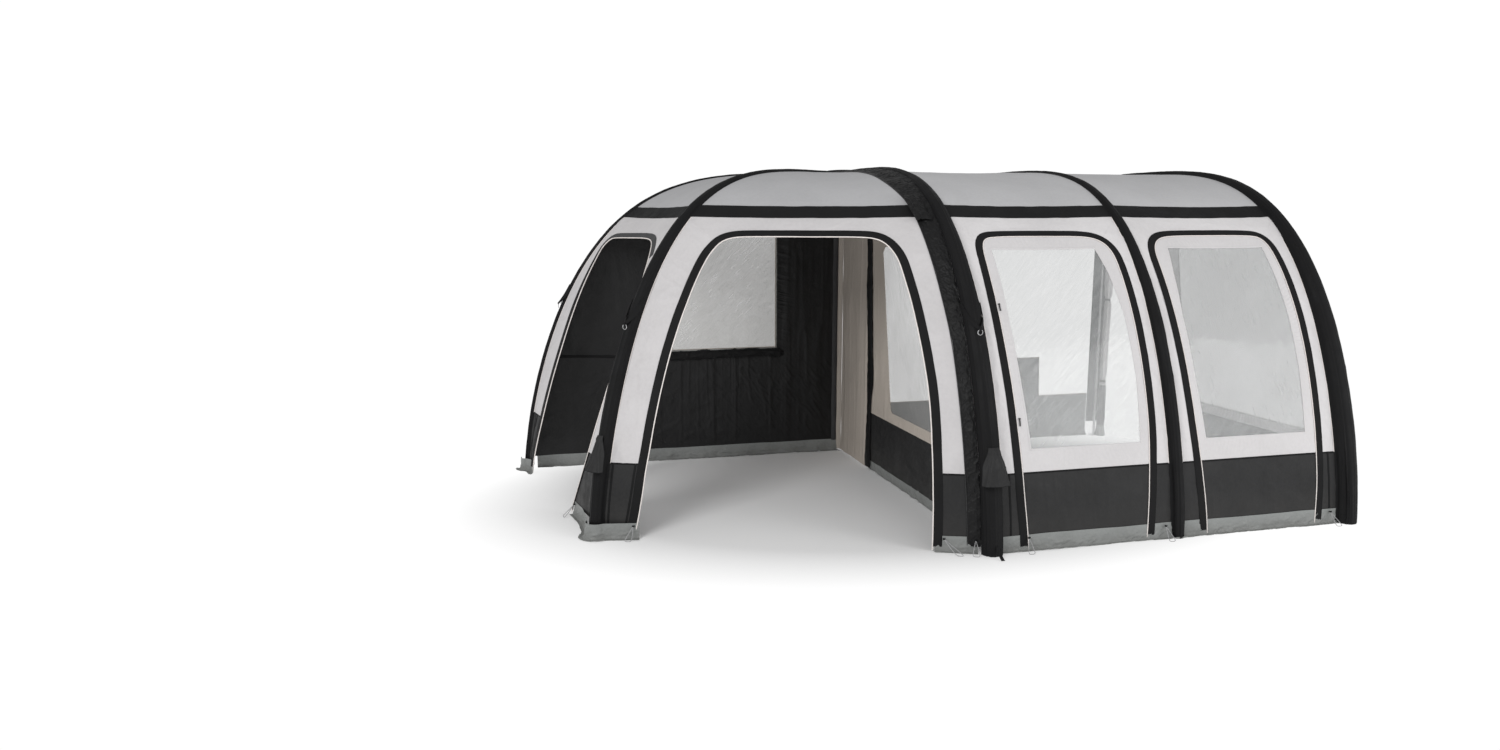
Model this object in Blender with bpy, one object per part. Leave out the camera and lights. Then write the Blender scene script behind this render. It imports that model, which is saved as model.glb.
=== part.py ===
"""Inflatable caravan awning: a three-rib porch with a fan-shaped bay zipped to its left side.

Metres, +Z up.  X runs along the rail the awning hangs from, -Y points away from it, and z = 0 is the ground.
The origin is on the ground under the point where the fan's three ribs meet the rail.
"""

import math

import bmesh
import bpy
import numpy as np
from mathutils import Matrix, Vector

for old in list(bpy.data.objects):
    bpy.data.objects.remove(old, do_unlink=True)

# ------------------------------------------------------------------ driving dimensions
APEX_Z = 2.58          # height of the rib centrelines at the rail
PROFILE_R = 4.2        # the rib's superellipse: reach exponent
PROFILE_Z = 1.5        # and height exponent
RAIL_Y = -0.05         # the ribs' upper ends lie this far in front of the rail plane
PORCH_WIDTH = 2.82     # between the centrelines of the porch's two outer ribs
PORCH_DEPTH = 3.00     # reach of a porch rib from its upper end
FAN_REAR_REACH = 2.908
FAN_CORNER = (-2.49, -2.07)

R_MAIN = 0.074         # porch outer ribs
R_MID = 0.043          # porch middle rib
R_FAN = 0.047          # fan corner rib
R_REAR = 0.021         # fan rib along the rail plane
TUBE_WALL = 0.0035
CLOTH = 0.003
FILM = 0.0010
UNDER = 0.011          # the skin passes this far under the flat backs of the ribs

BAND_LOW, BAND_HIGH = 2.190, 2.270
DARK_TOP = 0.510       # top edge of the dark lower panels
FLAP_TOP = 0.100       # top edge of the mud flaps
DOOR_TOP = 2.050
TOGGLE_A = (0.160, 0.176)  # the two toggles' places across the window bay

RIBS = {
    "A": ((0.0, RAIL_Y), (-FAN_REAR_REACH, RAIL_Y), R_REAR),
    "B": ((0.0, RAIL_Y), FAN_CORNER, R_FAN),
    "C": ((0.0, RAIL_Y), (0.0, RAIL_Y - PORCH_DEPTH), R_MAIN),
    "D": ((PORCH_WIDTH / 2, RAIL_Y), (PORCH_WIDTH / 2, RAIL_Y - PORCH_DEPTH), R_MID),
    "E": ((PORCH_WIDTH, RAIL_Y), (PORCH_WIDTH, RAIL_Y - PORCH_DEPTH), R_MAIN),
}

COLOURS = {
    "light_cloth": ((0.56, 0.55, 0.55), 0.80, 0.0),
    "dark_cloth": ((0.022, 0.022, 0.024), 0.75, 0.0),
    "tube_cloth": ((0.018, 0.018, 0.019), 0.65, 0.0),
    "mud_flap": ((0.20, 0.21, 0.20), 0.60, 0.0),
    "beige_cloth": ((0.30, 0.27, 0.23), 0.85, 0.0),
    "clear_film": ((0.80, 0.83, 0.84), 0.10, 0.0),
    "steel": ((0.55, 0.55, 0.56), 0.35, 1.0),
    "plastic": ((0.03, 0.03, 0.03), 0.50, 0.0),
    "foam": ((0.03, 0.03, 0.03), 0.90, 0.0),
}


def material(kind, name):
    colour, rough, metal = COLOURS[kind]
    mat = bpy.data.materials.new(name + "_material")
    mat.use_nodes = True
    shader = mat.node_tree.nodes["Principled BSDF"]
    shader.inputs["Base Color"].default_value = (*colour, 1.0)
    shader.inputs["Roughness"].default_value = rough
    shader.inputs["Metallic"].default_value = metal
    if kind == "clear_film":
        shader.inputs["Alpha"].default_value = 0.3
    return mat


def add(name, bm, kind, smooth=True, location=(0, 0, 0)):
    """One named object from a bmesh whose points are relative to location."""
    mesh = bpy.data.meshes.new(name)
    bm.to_mesh(mesh)
    bm.free()
    obj = bpy.data.objects.new(name, mesh)
    bpy.context.scene.collection.objects.link(obj)
    obj.location = location
    mesh.materials.append(material(kind, name))
    if smooth:
        mesh.shade_smooth()
        mesh.set_sharp_from_angle(angle=math.radians(35))
    return obj


# ------------------------------------------------------------------ the rib's shape
def profile_table(count=2001):
    """Reach and height of the superellipse against arc length, foot to apex, each from 0 to 1."""
    t = np.linspace(0.0, math.pi / 2, count)
    reach = np.cos(t) ** (2.0 / PROFILE_R)
    height = np.sin(t) ** (2.0 / PROFILE_Z)
    reach[-1], height[0] = 0.0, 0.0
    step = np.hypot(np.diff(reach) * PORCH_DEPTH, np.diff(height) * APEX_Z)
    run = np.concatenate([[0.0], np.cumsum(step)])
    return run / run[-1], reach, height


RUN, REACH, HEIGHT = profile_table()


def s_at(z, inset=0.006):
    """Arc parameter of the height z."""
    return float(np.interp(z / (APEX_Z - inset), HEIGHT, RUN))


def s_reach(r, total):
    """Arc parameter of the horizontal distance r from the rib's upper end."""
    return float(np.interp(-r / total, -REACH, RUN))


def rib_reach(rib):
    base, foot, _ = RIBS[rib]
    return math.hypot(foot[0] - base[0], foot[1] - base[1])


def rib_direction(rib):
    base, foot, _ = RIBS[rib]
    return (Vector((foot[0], foot[1], 0)) - Vector((base[0], base[1], 0))).normalized()


def rib_point(rib, s, inset=0.0):
    base, _, _ = RIBS[rib]
    out = (rib_reach(rib) - inset) * float(np.interp(s, RUN, REACH))
    z = (APEX_Z - inset) * float(np.interp(s, RUN, HEIGHT))
    return Vector((base[0], base[1], 0)) + rib_direction(rib) * out + Vector((0, 0, z))


def girth(s):
    """The ribs slim down towards the rail: their share of the full radius."""
    high = float(np.interp(s, RUN, HEIGHT))
    return float(np.interp(high, (0.35, 0.55, 0.65, 0.78, 0.90, 0.96, 1.0), (1.0, 0.93, 0.86, 0.76, 0.64, 0.50, 0.34)))


def skin_point(p, q, a, s, proud=0.0, sag=0.007):
    """A point of the skin between ribs p and q: it runs just under both and draws in slightly between them."""
    one = rib_point(p, s, UNDER - proud)
    two = rib_point(q, s, UNDER - proud)
    point = one.lerp(two, a)
    base = Vector((RIBS[p][0][0], RAIL_Y, 0)).lerp(Vector((RIBS[q][0][0], RAIL_Y, 0)), a)
    pull = sag * 4 * a * (1 - a) * math.sin(math.pi * min(1.0, s * 1.05))
    return base + (point - base) * (1 - pull)


def span(p, q, s):
    return (rib_point(p, s) - rib_point(q, s)).length


# ------------------------------------------------------------------ builders
def grid_object(name, rows, kind, thick=CLOTH, closed=False, offset=0.0):
    """A sheet through rows of points, thickened by Solidify."""
    bm = bmesh.new()
    made = [[bm.verts.new(p) for p in row] for row in rows]
    for i in range(len(made) - 1):
        count = len(made[i])
        for j in range(count if closed else count - 1):
            k = (j + 1) % count
            bm.faces.new((made[i][j], made[i][k], made[i + 1][k], made[i + 1][j]))
    bmesh.ops.recalc_face_normals(bm, faces=bm.faces)
    obj = add(name, bm, kind)
    solid = obj.modifiers.new("thickness", "SOLIDIFY")
    solid.thickness = thick
    solid.offset = offset
    solid.use_even_offset = True
    return obj


def tube_object(name, rib, top_reach, kind, sides, segments):
    """A hollow air tube swept along its rib, its lower end flat on the ground.  Its back, sewn to the skin, is flat."""
    radius = RIBS[rib][2]
    last = s_reach(top_reach, rib_reach(rib))
    side = Vector((0, 0, 1)).cross(rib_direction(rib)).normalized()
    bm = bmesh.new()
    loops = []
    for i in range(segments + 1):
        s = last * i / segments
        centre = rib_point(rib, s)
        if i == 0:
            along = Vector((0, 0, 1))
        else:
            along = (rib_point(rib, min(1.0, s + 0.004)) - rib_point(rib, s - 0.004)).normalized()
        out = side.cross(along).normalized()
        loops.append([
            bm.verts.new(centre + radius * girth(s) * (max(0.0, math.cos(t)) * out + math.sin(t) * side))
            for t in (2 * math.pi * (k + 0.5) / sides for k in range(sides))
        ])
    for i in range(segments):
        for k in range(sides):
            n = (k + 1) % sides
            bm.faces.new((loops[i][k], loops[i][n], loops[i + 1][n], loops[i + 1][k]))
    bmesh.ops.recalc_face_normals(bm, faces=bm.faces)
    obj = add(name, bm, kind)
    solid = obj.modifiers.new("wall", "SOLIDIFY")
    solid.thickness = TUBE_WALL
    solid.offset = -1.0
    return obj


def columns(chain, up=0.0):
    """(p, q, a) for every column of a panel that runs across one or more ribs.
    A pair as start or end gives the edge's places at the panel's foot and head; up is the row, from 0 to 1."""
    found = []
    for p, q, start, end, count in chain:
        if isinstance(start, tuple):
            start = start[0] + (start[1] - start[0]) * up
        if isinstance(end, tuple):
            end = end[0] + (end[1] - end[0]) * up
        for i in range(count + 1):
            if found and i == 0:
                continue
            found.append((p, q, start + (end - start) * i / count))
    return found


def skin_panel(name, chain, s_low, s_high, rows, kind, proud=0.0, thick=CLOTH):
    made = []
    for i in range(rows + 1):
        s = s_low + (s_high - s_low) * i / rows
        made.append([skin_point(p, q, a, s, proud) for p, q, a in columns(chain, i / rows)])
    return grid_object(name, made, kind, thick)


def arch(left, right, low, high, corner, lean=0.0, upright=7, bend=4, across=6):
    """(a, z) along an upside-down U: up the left edge, over the top with rounded corners, down the right edge.
    lean moves the edges towards each other at the top."""
    points = []
    width = right - left
    ca = corner[0]
    cz = corner[1]
    for i in range(upright + 1):
        f = i / upright
        z = low + (high - cz - low) * f
        points.append((left + lean * f, z))
    for i in range(1, bend + 1):
        t = math.pi / 2 * i / bend
        points.append((left + lean + ca * (1 - math.cos(t)), high - cz * (1 - math.sin(t))))
    for i in range(1, across):
        f = i / across
        points.append((left + lean + ca + (width - 2 * lean - 2 * ca) * f, high))
    mirrored = [(left + right - a, z) for a, z in points[: upright + 1 + bend]]
    return points + mirrored[::-1]


def arch_panel(name, p, q, outer, inner, kind, rings=2, thick=CLOTH, proud=0.0):
    """The cloth between two arches of the same count, given as (a, z)."""
    rows = []
    for k in range(rings + 1):
        f = k / rings
        rows.append([
            skin_point(p, q, a0 + (a1 - a0) * f, s_at(z0 + (z1 - z0) * f), proud)
            for (a0, z0), (a1, z1) in zip(outer, inner)
        ])
    return grid_object(name, rows, kind, thick)


def loop_points(left, right, low, high, corner, lean, side_count=7, bend=4, across=6):
    """(a, z) round a closed rounded window outline, starting at its lower left."""
    upper = arch(left, right, low + 0.4 * corner[1], high, corner, lean, side_count, bend, across)
    lower = []
    ca, cz = 0.4 * corner[0], 0.4 * corner[1]
    for i in range(1, bend + 1):
        t = math.pi / 2 * i / bend
        lower.append((right - ca * (1 - math.cos(t)), low + cz * (1 - math.sin(t))))
    for i in range(1, across):
        lower.append((right - ca + (left + ca - right + ca) * i / across, low))
    for i in range(bend):
        t = math.pi / 2 * i / bend
        lower.append((left + ca * (1 - math.sin(t)), low + cz * (1 - math.cos(t))))
    return upper + lower


def flat_panel(name, outline, place, kind, thick=CLOTH, holes=()):
    """A flat sheet: outline and holes are (u, v) points, place maps (u, v, depth) to a point."""
    def prism(points, half):
        bm = bmesh.new()
        low = [bm.verts.new(place(u, v, -half)) for u, v in points]
        high = [bm.verts.new(place(u, v, half)) for u, v in points]
        bm.faces.new(low)
        bm.faces.new(high[::-1])
        for i in range(len(points)):
            j = (i + 1) % len(points)
            bm.faces.new((low[j], low[i], high[i], high[j]))
        bmesh.ops.recalc_face_normals(bm, faces=bm.faces)
        return bm

    obj = add(name, prism(outline, thick / 2), kind)
    for number, hole in enumerate(holes):
        cutter = add(f"{name}_cut{number}", prism(hole, 0.02), kind)
        cutter.hide_render = True
        cutter.display_type = "WIRE"
        cut = obj.modifiers.new("opening", "BOOLEAN")
        cut.operation = "DIFFERENCE"
        cut.object = cutter
    return obj


def rounded(u0, v0, u1, v1, radius, steps=3, shear=0.0):
    """A rounded rectangle's points; shear slides its top along u."""
    points = []
    for cx, cy, start in ((u1 - radius, v1 - radius, 0), (u0 + radius, v1 - radius, 90),
                          (u0 + radius, v0 + radius, 180), (u1 - radius, v0 + radius, 270)):
        for i in range(steps + 1):
            t = math.radians(start + 90 * i / steps)
            v = cy + radius * math.sin(t)
            points.append((cx + radius * math.cos(t) + shear * (v - v0) / (v1 - v0), v))
    return points


def cylinder(bm, centre, axis, radius, depth, sides=12):
    """A capped cylinder whose middle is at centre."""
    turn = Vector((0, 0, 1)).rotation_difference(Vector(axis)).to_matrix().to_4x4()
    bmesh.ops.create_cone(bm, cap_ends=True, segments=sides, radius1=radius, radius2=radius, depth=depth,
                          matrix=Matrix.Translation(centre) @ turn)


def box(bm, centre, size, turn=None):
    matrix = Matrix.Translation(centre) @ (turn or Matrix()) @ Matrix.Diagonal((*size, 1.0))
    bmesh.ops.create_cube(bm, size=1.0, matrix=matrix)


def union(obj, helper):
    """Joins a helper shape to the object, and leaves the helper out."""
    helper.hide_render = True
    helper.display_type = "WIRE"
    joined = obj.modifiers.new("join", "BOOLEAN")
    joined.operation = "UNION"
    joined.object = helper


# ------------------------------------------------------------------ air frame
tube_object("air_tube_fan_rear", "A", 0.185, "tube_cloth", 10, 20)
tube_object("air_tube_fan_corner", "B", 0.185, "tube_cloth", 10, 20)
tube_object("air_tube_porch_left", "C", 0.185, "tube_cloth", 12, 20)
tube_object("air_tube_porch_middle", "D", 0.120, "tube_cloth", 10, 20)
tube_object("air_tube_porch_right", "E", 0.120, "tube_cloth", 12, 20)

# The pocket that holds the three upper ends: a half round with its flat side to the rail plane.
bm = bmesh.new()
hub_low, hub_high, hub_r = 2.5815, 2.615, 0.165
rim = [(-hub_r, 0.0)] + [
    (hub_r * math.cos(math.radians(t)), hub_r * math.sin(math.radians(t))) for t in range(195, 346, 15)
] + [(hub_r, 0.0)]
low = [bm.verts.new((x, y - 0.005, hub_low)) for x, y in rim]
high = [bm.verts.new((x * 0.9, y * 0.9 - 0.005, hub_high)) for x, y in rim]
mid = [bm.verts.new((x, y - 0.005, hub_high - 0.012)) for x, y in rim]
bm.faces.new(low)
bm.faces.new(high[::-1])
for below, above in ((low, mid), (mid, high)):
    for i in range(len(rim)):
        j = (i + 1) % len(rim)
        bm.faces.new((below[j], below[i], above[i], above[j]))
bmesh.ops.recalc_face_normals(bm, faces=bm.faces)
add("apex_pocket", bm, "tube_cloth")

# ------------------------------------------------------------------ roof, bands and rail strip
GAP = 0.0016
s_band_low, s_band_high = s_at(BAND_LOW), s_at(BAND_HIGH)
side_chain = [("A", "B", 0.0, 1.0, 5), ("B", "C", 0.0, 0.995, 6)]
main_chain = [("C", "D", 0.008, 1.0, 5), ("D", "E", 0.0, 1.0, 5)]
s_fan_top = s_reach(0.07, 3.0)
skin_panel("roof_fan", side_chain, s_band_high + GAP, s_fan_top, 10, "light_cloth")
skin_panel("roof_porch", main_chain, s_band_high + GAP, 0.9995, 10, "light_cloth")
skin_panel("band_fan", side_chain, s_band_low, s_band_high - 0.0002, 2, "dark_cloth")
skin_panel("band_porch", main_chain, s_band_low, s_band_high - 0.0002, 2, "dark_cloth")

# The strip that seals the porch roof to the rail, with its bead.
bm = bmesh.new()
section = [(-0.158, 2.5825), (-0.100, 2.5840), (-0.045, 2.5865), (-0.012, 2.590)]
rows = [[Vector((x, y, z)) for x in (0.190, 1.000, 1.900, 2.895)] for y, z in section]
bm.free()
rail = grid_object("rail_strip", rows, "dark_cloth", 0.004)
bm = bmesh.new()
cylinder(bm, Vector(((0.190 + 2.895) / 2, -0.0105, 2.5915)), (1, 0, 0), 0.0045, 2.705, 8)
bead = add("rail_bead_shape", bm, "dark_cloth")
union(rail, bead)

# ------------------------------------------------------------------ zip strip beside the porch's left rib
def strip_rows():
    made = []
    for i in range(17):
        s = 0.012 + (s_reach(0.42, 3.0) - 0.012) * i / 16
        width = span("B", "C", s)
        outer = float(np.interp(float(np.interp(s, RUN, HEIGHT)), (0.50, 0.56, 0.63, 0.74, 0.84, 0.90, 0.96),
                                (0.153, 0.156, 0.165, 0.174, 0.180, 0.189, 0.225)))
        made.append([
            skin_point("B", "C", 1 - d / width, s, 0.020 - 0.06 * max(0.0, d - 0.09))
            for d in (outer, (outer + 0.088) / 2, 0.088)
        ])
    return made


grid_object("zip_strip", strip_rows(), "dark_cloth", 0.005)

# ------------------------------------------------------------------ doorway and window surrounds
TOP = BAND_LOW - 0.006


def edge_arch(left, right, upright=7, bend=4, across=6):
    """The outer edge of a surround: straight up to a square corner, with the same count as arch()."""
    points = []
    low = DARK_TOP
    for i in range(upright + 1):
        points.append((left, low + (TOP - 0.16 - low) * i / upright))
    for i in range(1, bend + 1):
        f = i / bend
        if f <= 0.5:
            points.append((left, TOP - 0.16 + 0.16 * f * 2))
        else:
            points.append((left + 0.13 * (f - 0.5) * 2, TOP))
    for i in range(1, across):
        points.append((left + 0.13 + (right - left - 0.26) * i / across, TOP))
    mirrored = [(left + right - a, z) for a, z in points[: upright + 1 + bend]]
    return points + mirrored[::-1]


# The side doorway leans back with the bay: its edges bow towards the rear rib, its top runs almost from rib to rib.
side_edge = ([(0.174, DARK_TOP), (0.197, 0.77), (0.213, 1.00), (0.209, 1.21), (0.188, 1.42), (0.164, 1.60), (0.140, 1.75), (0.114, 1.87)]
             + [(0.102, 1.93), (0.106, 1.985), (0.130, 2.015), (0.180, 2.026)]
             + [(0.29, 2.030), (0.40, 2.034), (0.50, 2.037), (0.59, 2.038), (0.66, 2.036)]
             + [(0.720, 2.029), (0.782, 2.005), (0.836, 1.952), (0.884, 1.875)]
             + [(0.915, 1.79), (0.940, 1.66), (0.950, 1.45), (0.944, 1.21), (0.922, 1.00), (0.891, 0.83), (0.858, 0.66), (0.837, DARK_TOP)])
arch_panel("doorway_surround_side", "A", "B", edge_arch(0.0, 0.994), side_edge, "light_cloth")
arch_panel("doorway_surround_front", "B", "C", edge_arch(0.006, 0.995),
           arch(0.120, 0.862, DARK_TOP, DOOR_TOP, (0.09, 0.15), 0.046), "light_cloth")
for side, p, q, left, right in (("left", "C", "D", 0.008, 0.996), ("right", "D", "E", 0.004, 1.0)):
    arch_panel("window_surround_" + side, p, q, edge_arch(left, right),
               arch(0.150, 0.850, DARK_TOP, 2.070, (0.09, 0.13), -0.022), "light_cloth")

# ------------------------------------------------------------------ dark lower panels
s_dark_low, s_dark_high = s_at(FLAP_TOP), s_at(DARK_TOP) - GAP
skin_panel("lower_panel_fan_rear", [("A", "B", 0.0, (0.098, 0.174), 2)], s_dark_low, s_dark_high, 2, "dark_cloth")
skin_panel("lower_panel_fan_corner", [("A", "B", (0.722, 0.842), 1.0, 4), ("B", "C", 0.0, 0.117, 2)],
           s_dark_low, s_dark_high, 2, "dark_cloth")
skin_panel("lower_panel_doorway_right", [("B", "C", 0.865, 0.995, 2)], s_dark_low, s_dark_high, 2, "dark_cloth")
skin_panel("lower_panel_porch", main_chain, s_dark_low, s_dark_high, 2, "dark_cloth")

# ------------------------------------------------------------------ mud flaps
def flap(name, path, flare=0.042, bulge=()):
    """A short skirt along a path of ground points, turned out at the ground.
    bulge lists (index position, reach, width) where it passes outside a rib's foot."""
    points = [Vector(p) for p in path]
    rows = []
    outward = []
    for i, point in enumerate(points):
        before, after = points[max(0, i - 1)], points[min(len(points) - 1, i + 1)]
        along = (after - before).normalized()
        outward.append(Vector((along.y, -along.x, 0)))
    for z, share in ((FLAP_TOP - 0.004, 0.0), (0.045, 0.22), (0.0045, 1.0)):
        row = []
        for point, out in zip(points, outward):
            push = 0.0
            spread = flare
            for foot, reach, radius in bulge:
                d = (point - Vector(foot)).length
                if reach:
                    push += reach * math.exp(-(d / 0.085) ** 2)
                else:
                    spread *= min(1.0, max(0.0, (d - radius - 0.055) / 0.05))
            row.append(point + out * (push + spread * share) + Vector((0, 0, z)))
        rows.append(row)
    return grid_object(name, rows, "mud_flap")


def foot_line(chain):
    return [skin_point(p, q, a, s_at(FLAP_TOP + 0.02)).to_2d().to_3d() for p, q, a in columns(chain)]


def foot(rib):
    return (RIBS[rib][1][0], RIBS[rib][1][1], 0)


rear_path = [Vector(foot("A")) + 0.050 * Vector((math.cos(math.radians(t)), math.sin(math.radians(t)), 0))
             for t in (150, 178, 206, 234, 262)] + foot_line([("A", "B", 0.050, 0.098, 2)])
flap("mud_flap_fan_rear", rear_path, 0.040)
corner_path = foot_line([("A", "B", 0.722, 0.93, 6), ("A", "B", 0.93, 1.0, 5),
                         ("B", "C", 0.0, 0.06, 6), ("B", "C", 0.06, 0.117, 2)])
# near the corner the path is drawn outside the rib's foot along one rounded line
centre = Vector(foot("B"))
rounded_path = []
for point in corner_path:
    d = (point - centre).length
    push = max(0.0, (R_FAN + 0.020) - d)
    rounded_path.append(point)
start_dir = (rounded_path[0] - centre).normalized()
end_dir = (rounded_path[-1] - centre).normalized()
a0 = math.atan2(start_dir.y, start_dir.x)
a1 = math.atan2(end_dir.y, end_dir.x)
while a1 < a0:
    a1 += 2 * math.pi
ring_r = R_FAN + 0.022
arc = [centre + Vector((ring_r * math.cos(a0 + 0.55 + (a1 - a0 - 1.1) * i / 8),
                        ring_r * math.sin(a0 + 0.55 + (a1 - a0 - 1.1) * i / 8), 0)) for i in range(9)]
first = rounded_path[0]
last = rounded_path[-1]
path = [first, first.lerp(arc[0], 0.5)] + arc + [last.lerp(arc[-1], 0.5), last]
flap("mud_flap_fan_corner", path, 0.036)
flap("mud_flap_doorway_right", foot_line([("B", "C", 0.865, 0.93, 2), ("B", "C", 0.93, 0.992, 4)]), 0.042,
     [(foot("C"), 0, R_MAIN)])
porch_path = foot_line([("C", "D", 0.010, 0.12, 5), ("C", "D", 0.12, 0.90, 5), ("C", "D", 0.90, 1.0, 3),
                        ("D", "E", 0.0, 0.10, 3), ("D", "E", 0.10, 0.88, 5), ("D", "E", 0.88, 0.980, 4)])
# it turns the corner and runs on below the end wall to the door
porch_path += [Vector((PORCH_WIDTH, -3.000 + 2.232 * i / 8, 0)) for i in range(9)]
flap("mud_flap_porch", porch_path, 0.042,
     [(foot("C"), 0, R_MAIN), (foot("D"), 0, R_MID), (foot("E"), 0, R_MAIN)])

# ------------------------------------------------------------------ cross walls: the partition and the right end wall
DOOR_REAR, DOOR_FRONT, DOOR_HIGH = -0.062, -0.760, 2.160
WALL_FRONT_GAP = 0.016


def wall_curve(rib, inset, z_low, z_high, count):
    """(u, v) down the skin's inner face in the rib's own plane, where u is y."""
    found = []
    s0 = s_at(z_high, inset) if z_high else s_reach(0.012, rib_reach(rib))
    s1 = s_at(z_low, inset)
    for i in range(count + 1):
        point = rib_point(rib, s0 + (s1 - s0) * i / count, inset)
        found.append((point.y, point.z))
    return found


def cross_wall(prefix, rib, side):
    """A flat wall under a porch rib: door leaf by the rail, window panel, film, dark skirt."""
    x = RIBS[rib][0][0]

    def place(u, v, depth):
        return Vector((x + depth, u, v))

    def behind(u, v, depth):
        return Vector((x + side * 0.0035 + depth, u, v))

    inset = UNDER + 0.012
    curve = wall_curve(rib, inset, DARK_TOP + 0.008, None, 14)
    top_v = curve[0][1]
    outline = [(DOOR_FRONT - 0.006, DARK_TOP + 0.008), (DOOR_FRONT - 0.006, DOOR_HIGH + 0.006),
               (DOOR_REAR, DOOR_HIGH + 0.006), (DOOR_REAR, top_v)] + curve[1:]
    def window(grow):
        """A pane with a leaning rear edge and a front edge that follows the rib."""
        low_v, high_v = 0.600 - grow, 1.950 + grow
        rear = [(-1.280 + grow - 0.03, low_v), (-1.280 + grow + 0.005, low_v + 0.03),
                (-1.040 + grow, high_v - 0.05), (-1.085 + grow, high_v)]
        front = wall_curve(rib, inset + 0.150 - grow, low_v + 0.04, high_v - 0.05, 7)
        return rear + [(front[0][0] + 0.06, high_v)] + front + [(front[-1][0] + 0.05, low_v)]

    flat_panel(prefix + "_panel", outline, place, "beige_cloth", holes=[window(0.0)])
    flat_panel(prefix + "_film", window(0.020), behind, "clear_film", FILM)
    low = wall_curve(rib, inset, FLAP_TOP + 0.002, DARK_TOP + 0.004, 3)
    skirt = [(DOOR_FRONT - 0.006, FLAP_TOP + 0.002), (DOOR_FRONT - 0.006, DARK_TOP + 0.004)] + low
    flat_panel(prefix + "_skirt", skirt, place, "dark_cloth")
    return place


partition_place = cross_wall("partition", "C", 1)
cross_wall("end_wall", "E", -1)
flat_panel("partition_door", [(DOOR_REAR, 0.012), (DOOR_REAR, DOOR_HIGH), (DOOR_FRONT, DOOR_HIGH), (DOOR_FRONT, 0.012)],
           partition_place, "beige_cloth")

# The end wall's door is unzipped and rolled up against its rear edge: a bundle pinched by its ties.
bm = bmesh.new()
loops = []
for z, swell in ((0.012, 0.80), (0.10, 1.0), (0.30, 0.98), (0.50, 0.82), (0.56, 0.66), (0.66, 0.92), (1.00, 1.0),
                 (1.32, 0.94), (1.38, 0.72), (1.46, 0.94), (1.80, 1.0), (2.06, 0.92), (2.10, 0.70), (2.16, 0.84)):
    loops.append([
        bm.verts.new((2.780 + 0.034 * swell * math.cos(t), -0.078 + 0.034 * swell * math.sin(t), z))
        for t in (2 * math.pi * k / 14 for k in range(14))
    ])
for lower_loop, upper_loop in zip(loops, loops[1:]):
    for k in range(14):
        n = (k + 1) % 14
        bm.faces.new((lower_loop[k], lower_loop[n], upper_loop[n], upper_loop[k]))
bm.faces.new(loops[0][::-1])
bm.faces.new(loops[-1])
bmesh.ops.recalc_face_normals(bm, faces=bm.faces)
add("end_wall_door_roll", bm, "light_cloth")
flap("mud_flap_partition", [(0.0, DOOR_FRONT - 0.008 - 2.232 * i / 8, 0) for i in range(9)][::-1], 0.030)

# ------------------------------------------------------------------ rear wall of the fan bay
REAR_WALL_Y = -0.012


def rear_place(u, v, depth):
    return Vector((u, REAR_WALL_Y + depth, v))


def rear_film_place(u, v, depth):
    return Vector((u, REAR_WALL_Y - 0.0035 + depth, v))


def rear_curve(z_low, count):
    found = []
    s0, s1 = s_reach(0.20, FAN_REAR_REACH), s_at(z_low, 0.020)
    for i in range(count + 1):
        point = rib_point("A", s0 + (s1 - s0) * i / count, 0.020)
        found.append((point.x, point.z))
    return found


rear = rear_curve(FLAP_TOP + 0.002, 16)
flat_panel("rear_wall", [(-0.030, FLAP_TOP + 0.002), (-0.030, rear[0][1])] + rear, rear_place, "dark_cloth",
           holes=[rounded(-1.60, 1.010, -0.64, 2.100, 0.06)])
flat_panel("rear_film", rounded(-1.62, 0.990, -0.62, 2.120, 0.05), rear_film_place, "clear_film", FILM)
flap("mud_flap_rear", [(-0.030 - 2.79 * i / 8, REAR_WALL_Y, 0) for i in range(9)], -0.030)

# ------------------------------------------------------------------ draught skirt, with its raised wheel arch cover
def skirt_place(u, v, depth):
    return Vector((u, -0.008 + depth, v))


SKIRT_HIGH, ARCH_HIGH = 0.430, 0.815
flat_panel("draught_skirt", [(0.095, 0.006), (0.095, SKIRT_HIGH), (1.220, SKIRT_HIGH), (1.235, ARCH_HIGH),
                             (2.085, ARCH_HIGH), (2.100, SKIRT_HIGH), (2.642, SKIRT_HIGH), (2.642, 0.006)],
           skirt_place, "mud_flap")

# ------------------------------------------------------------------ front windows, zipped into their surrounds
for side, p, q in (("left", "C", "D"), ("right", "D", "E")):
    outer = loop_points(0.1530, 0.8470, 0.5135, 2.0660, (0.0895, 0.1295), -0.0218)
    inner = loop_points(0.215, 0.785, 0.655, 1.985, (0.05, 0.08), -0.020)
    rows = []
    for k in range(3):
        f = k / 2
        rows.append([
            skin_point(p, q, u0 + (u1 - u0) * f, s_at(v0 + (v1 - v0) * f)) for (u0, v0), (u1, v1) in zip(outer, inner)
        ])
    grid_object("window_panel_" + side, rows, "light_cloth", CLOTH, closed=True)
    made = []
    for i in range(10):
        z = 0.640 + (2.000 - 0.640) * i / 9
        lean = 0.020 * (z - 0.522) / 1.5
        made.append([
            skin_point(p, q, 0.205 - lean + (0.590 + 2 * lean) * j / 4, s_at(z), -0.0110) for j in range(5)
        ])
    grid_object("window_film_" + side, made, "clear_film", FILM)

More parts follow.
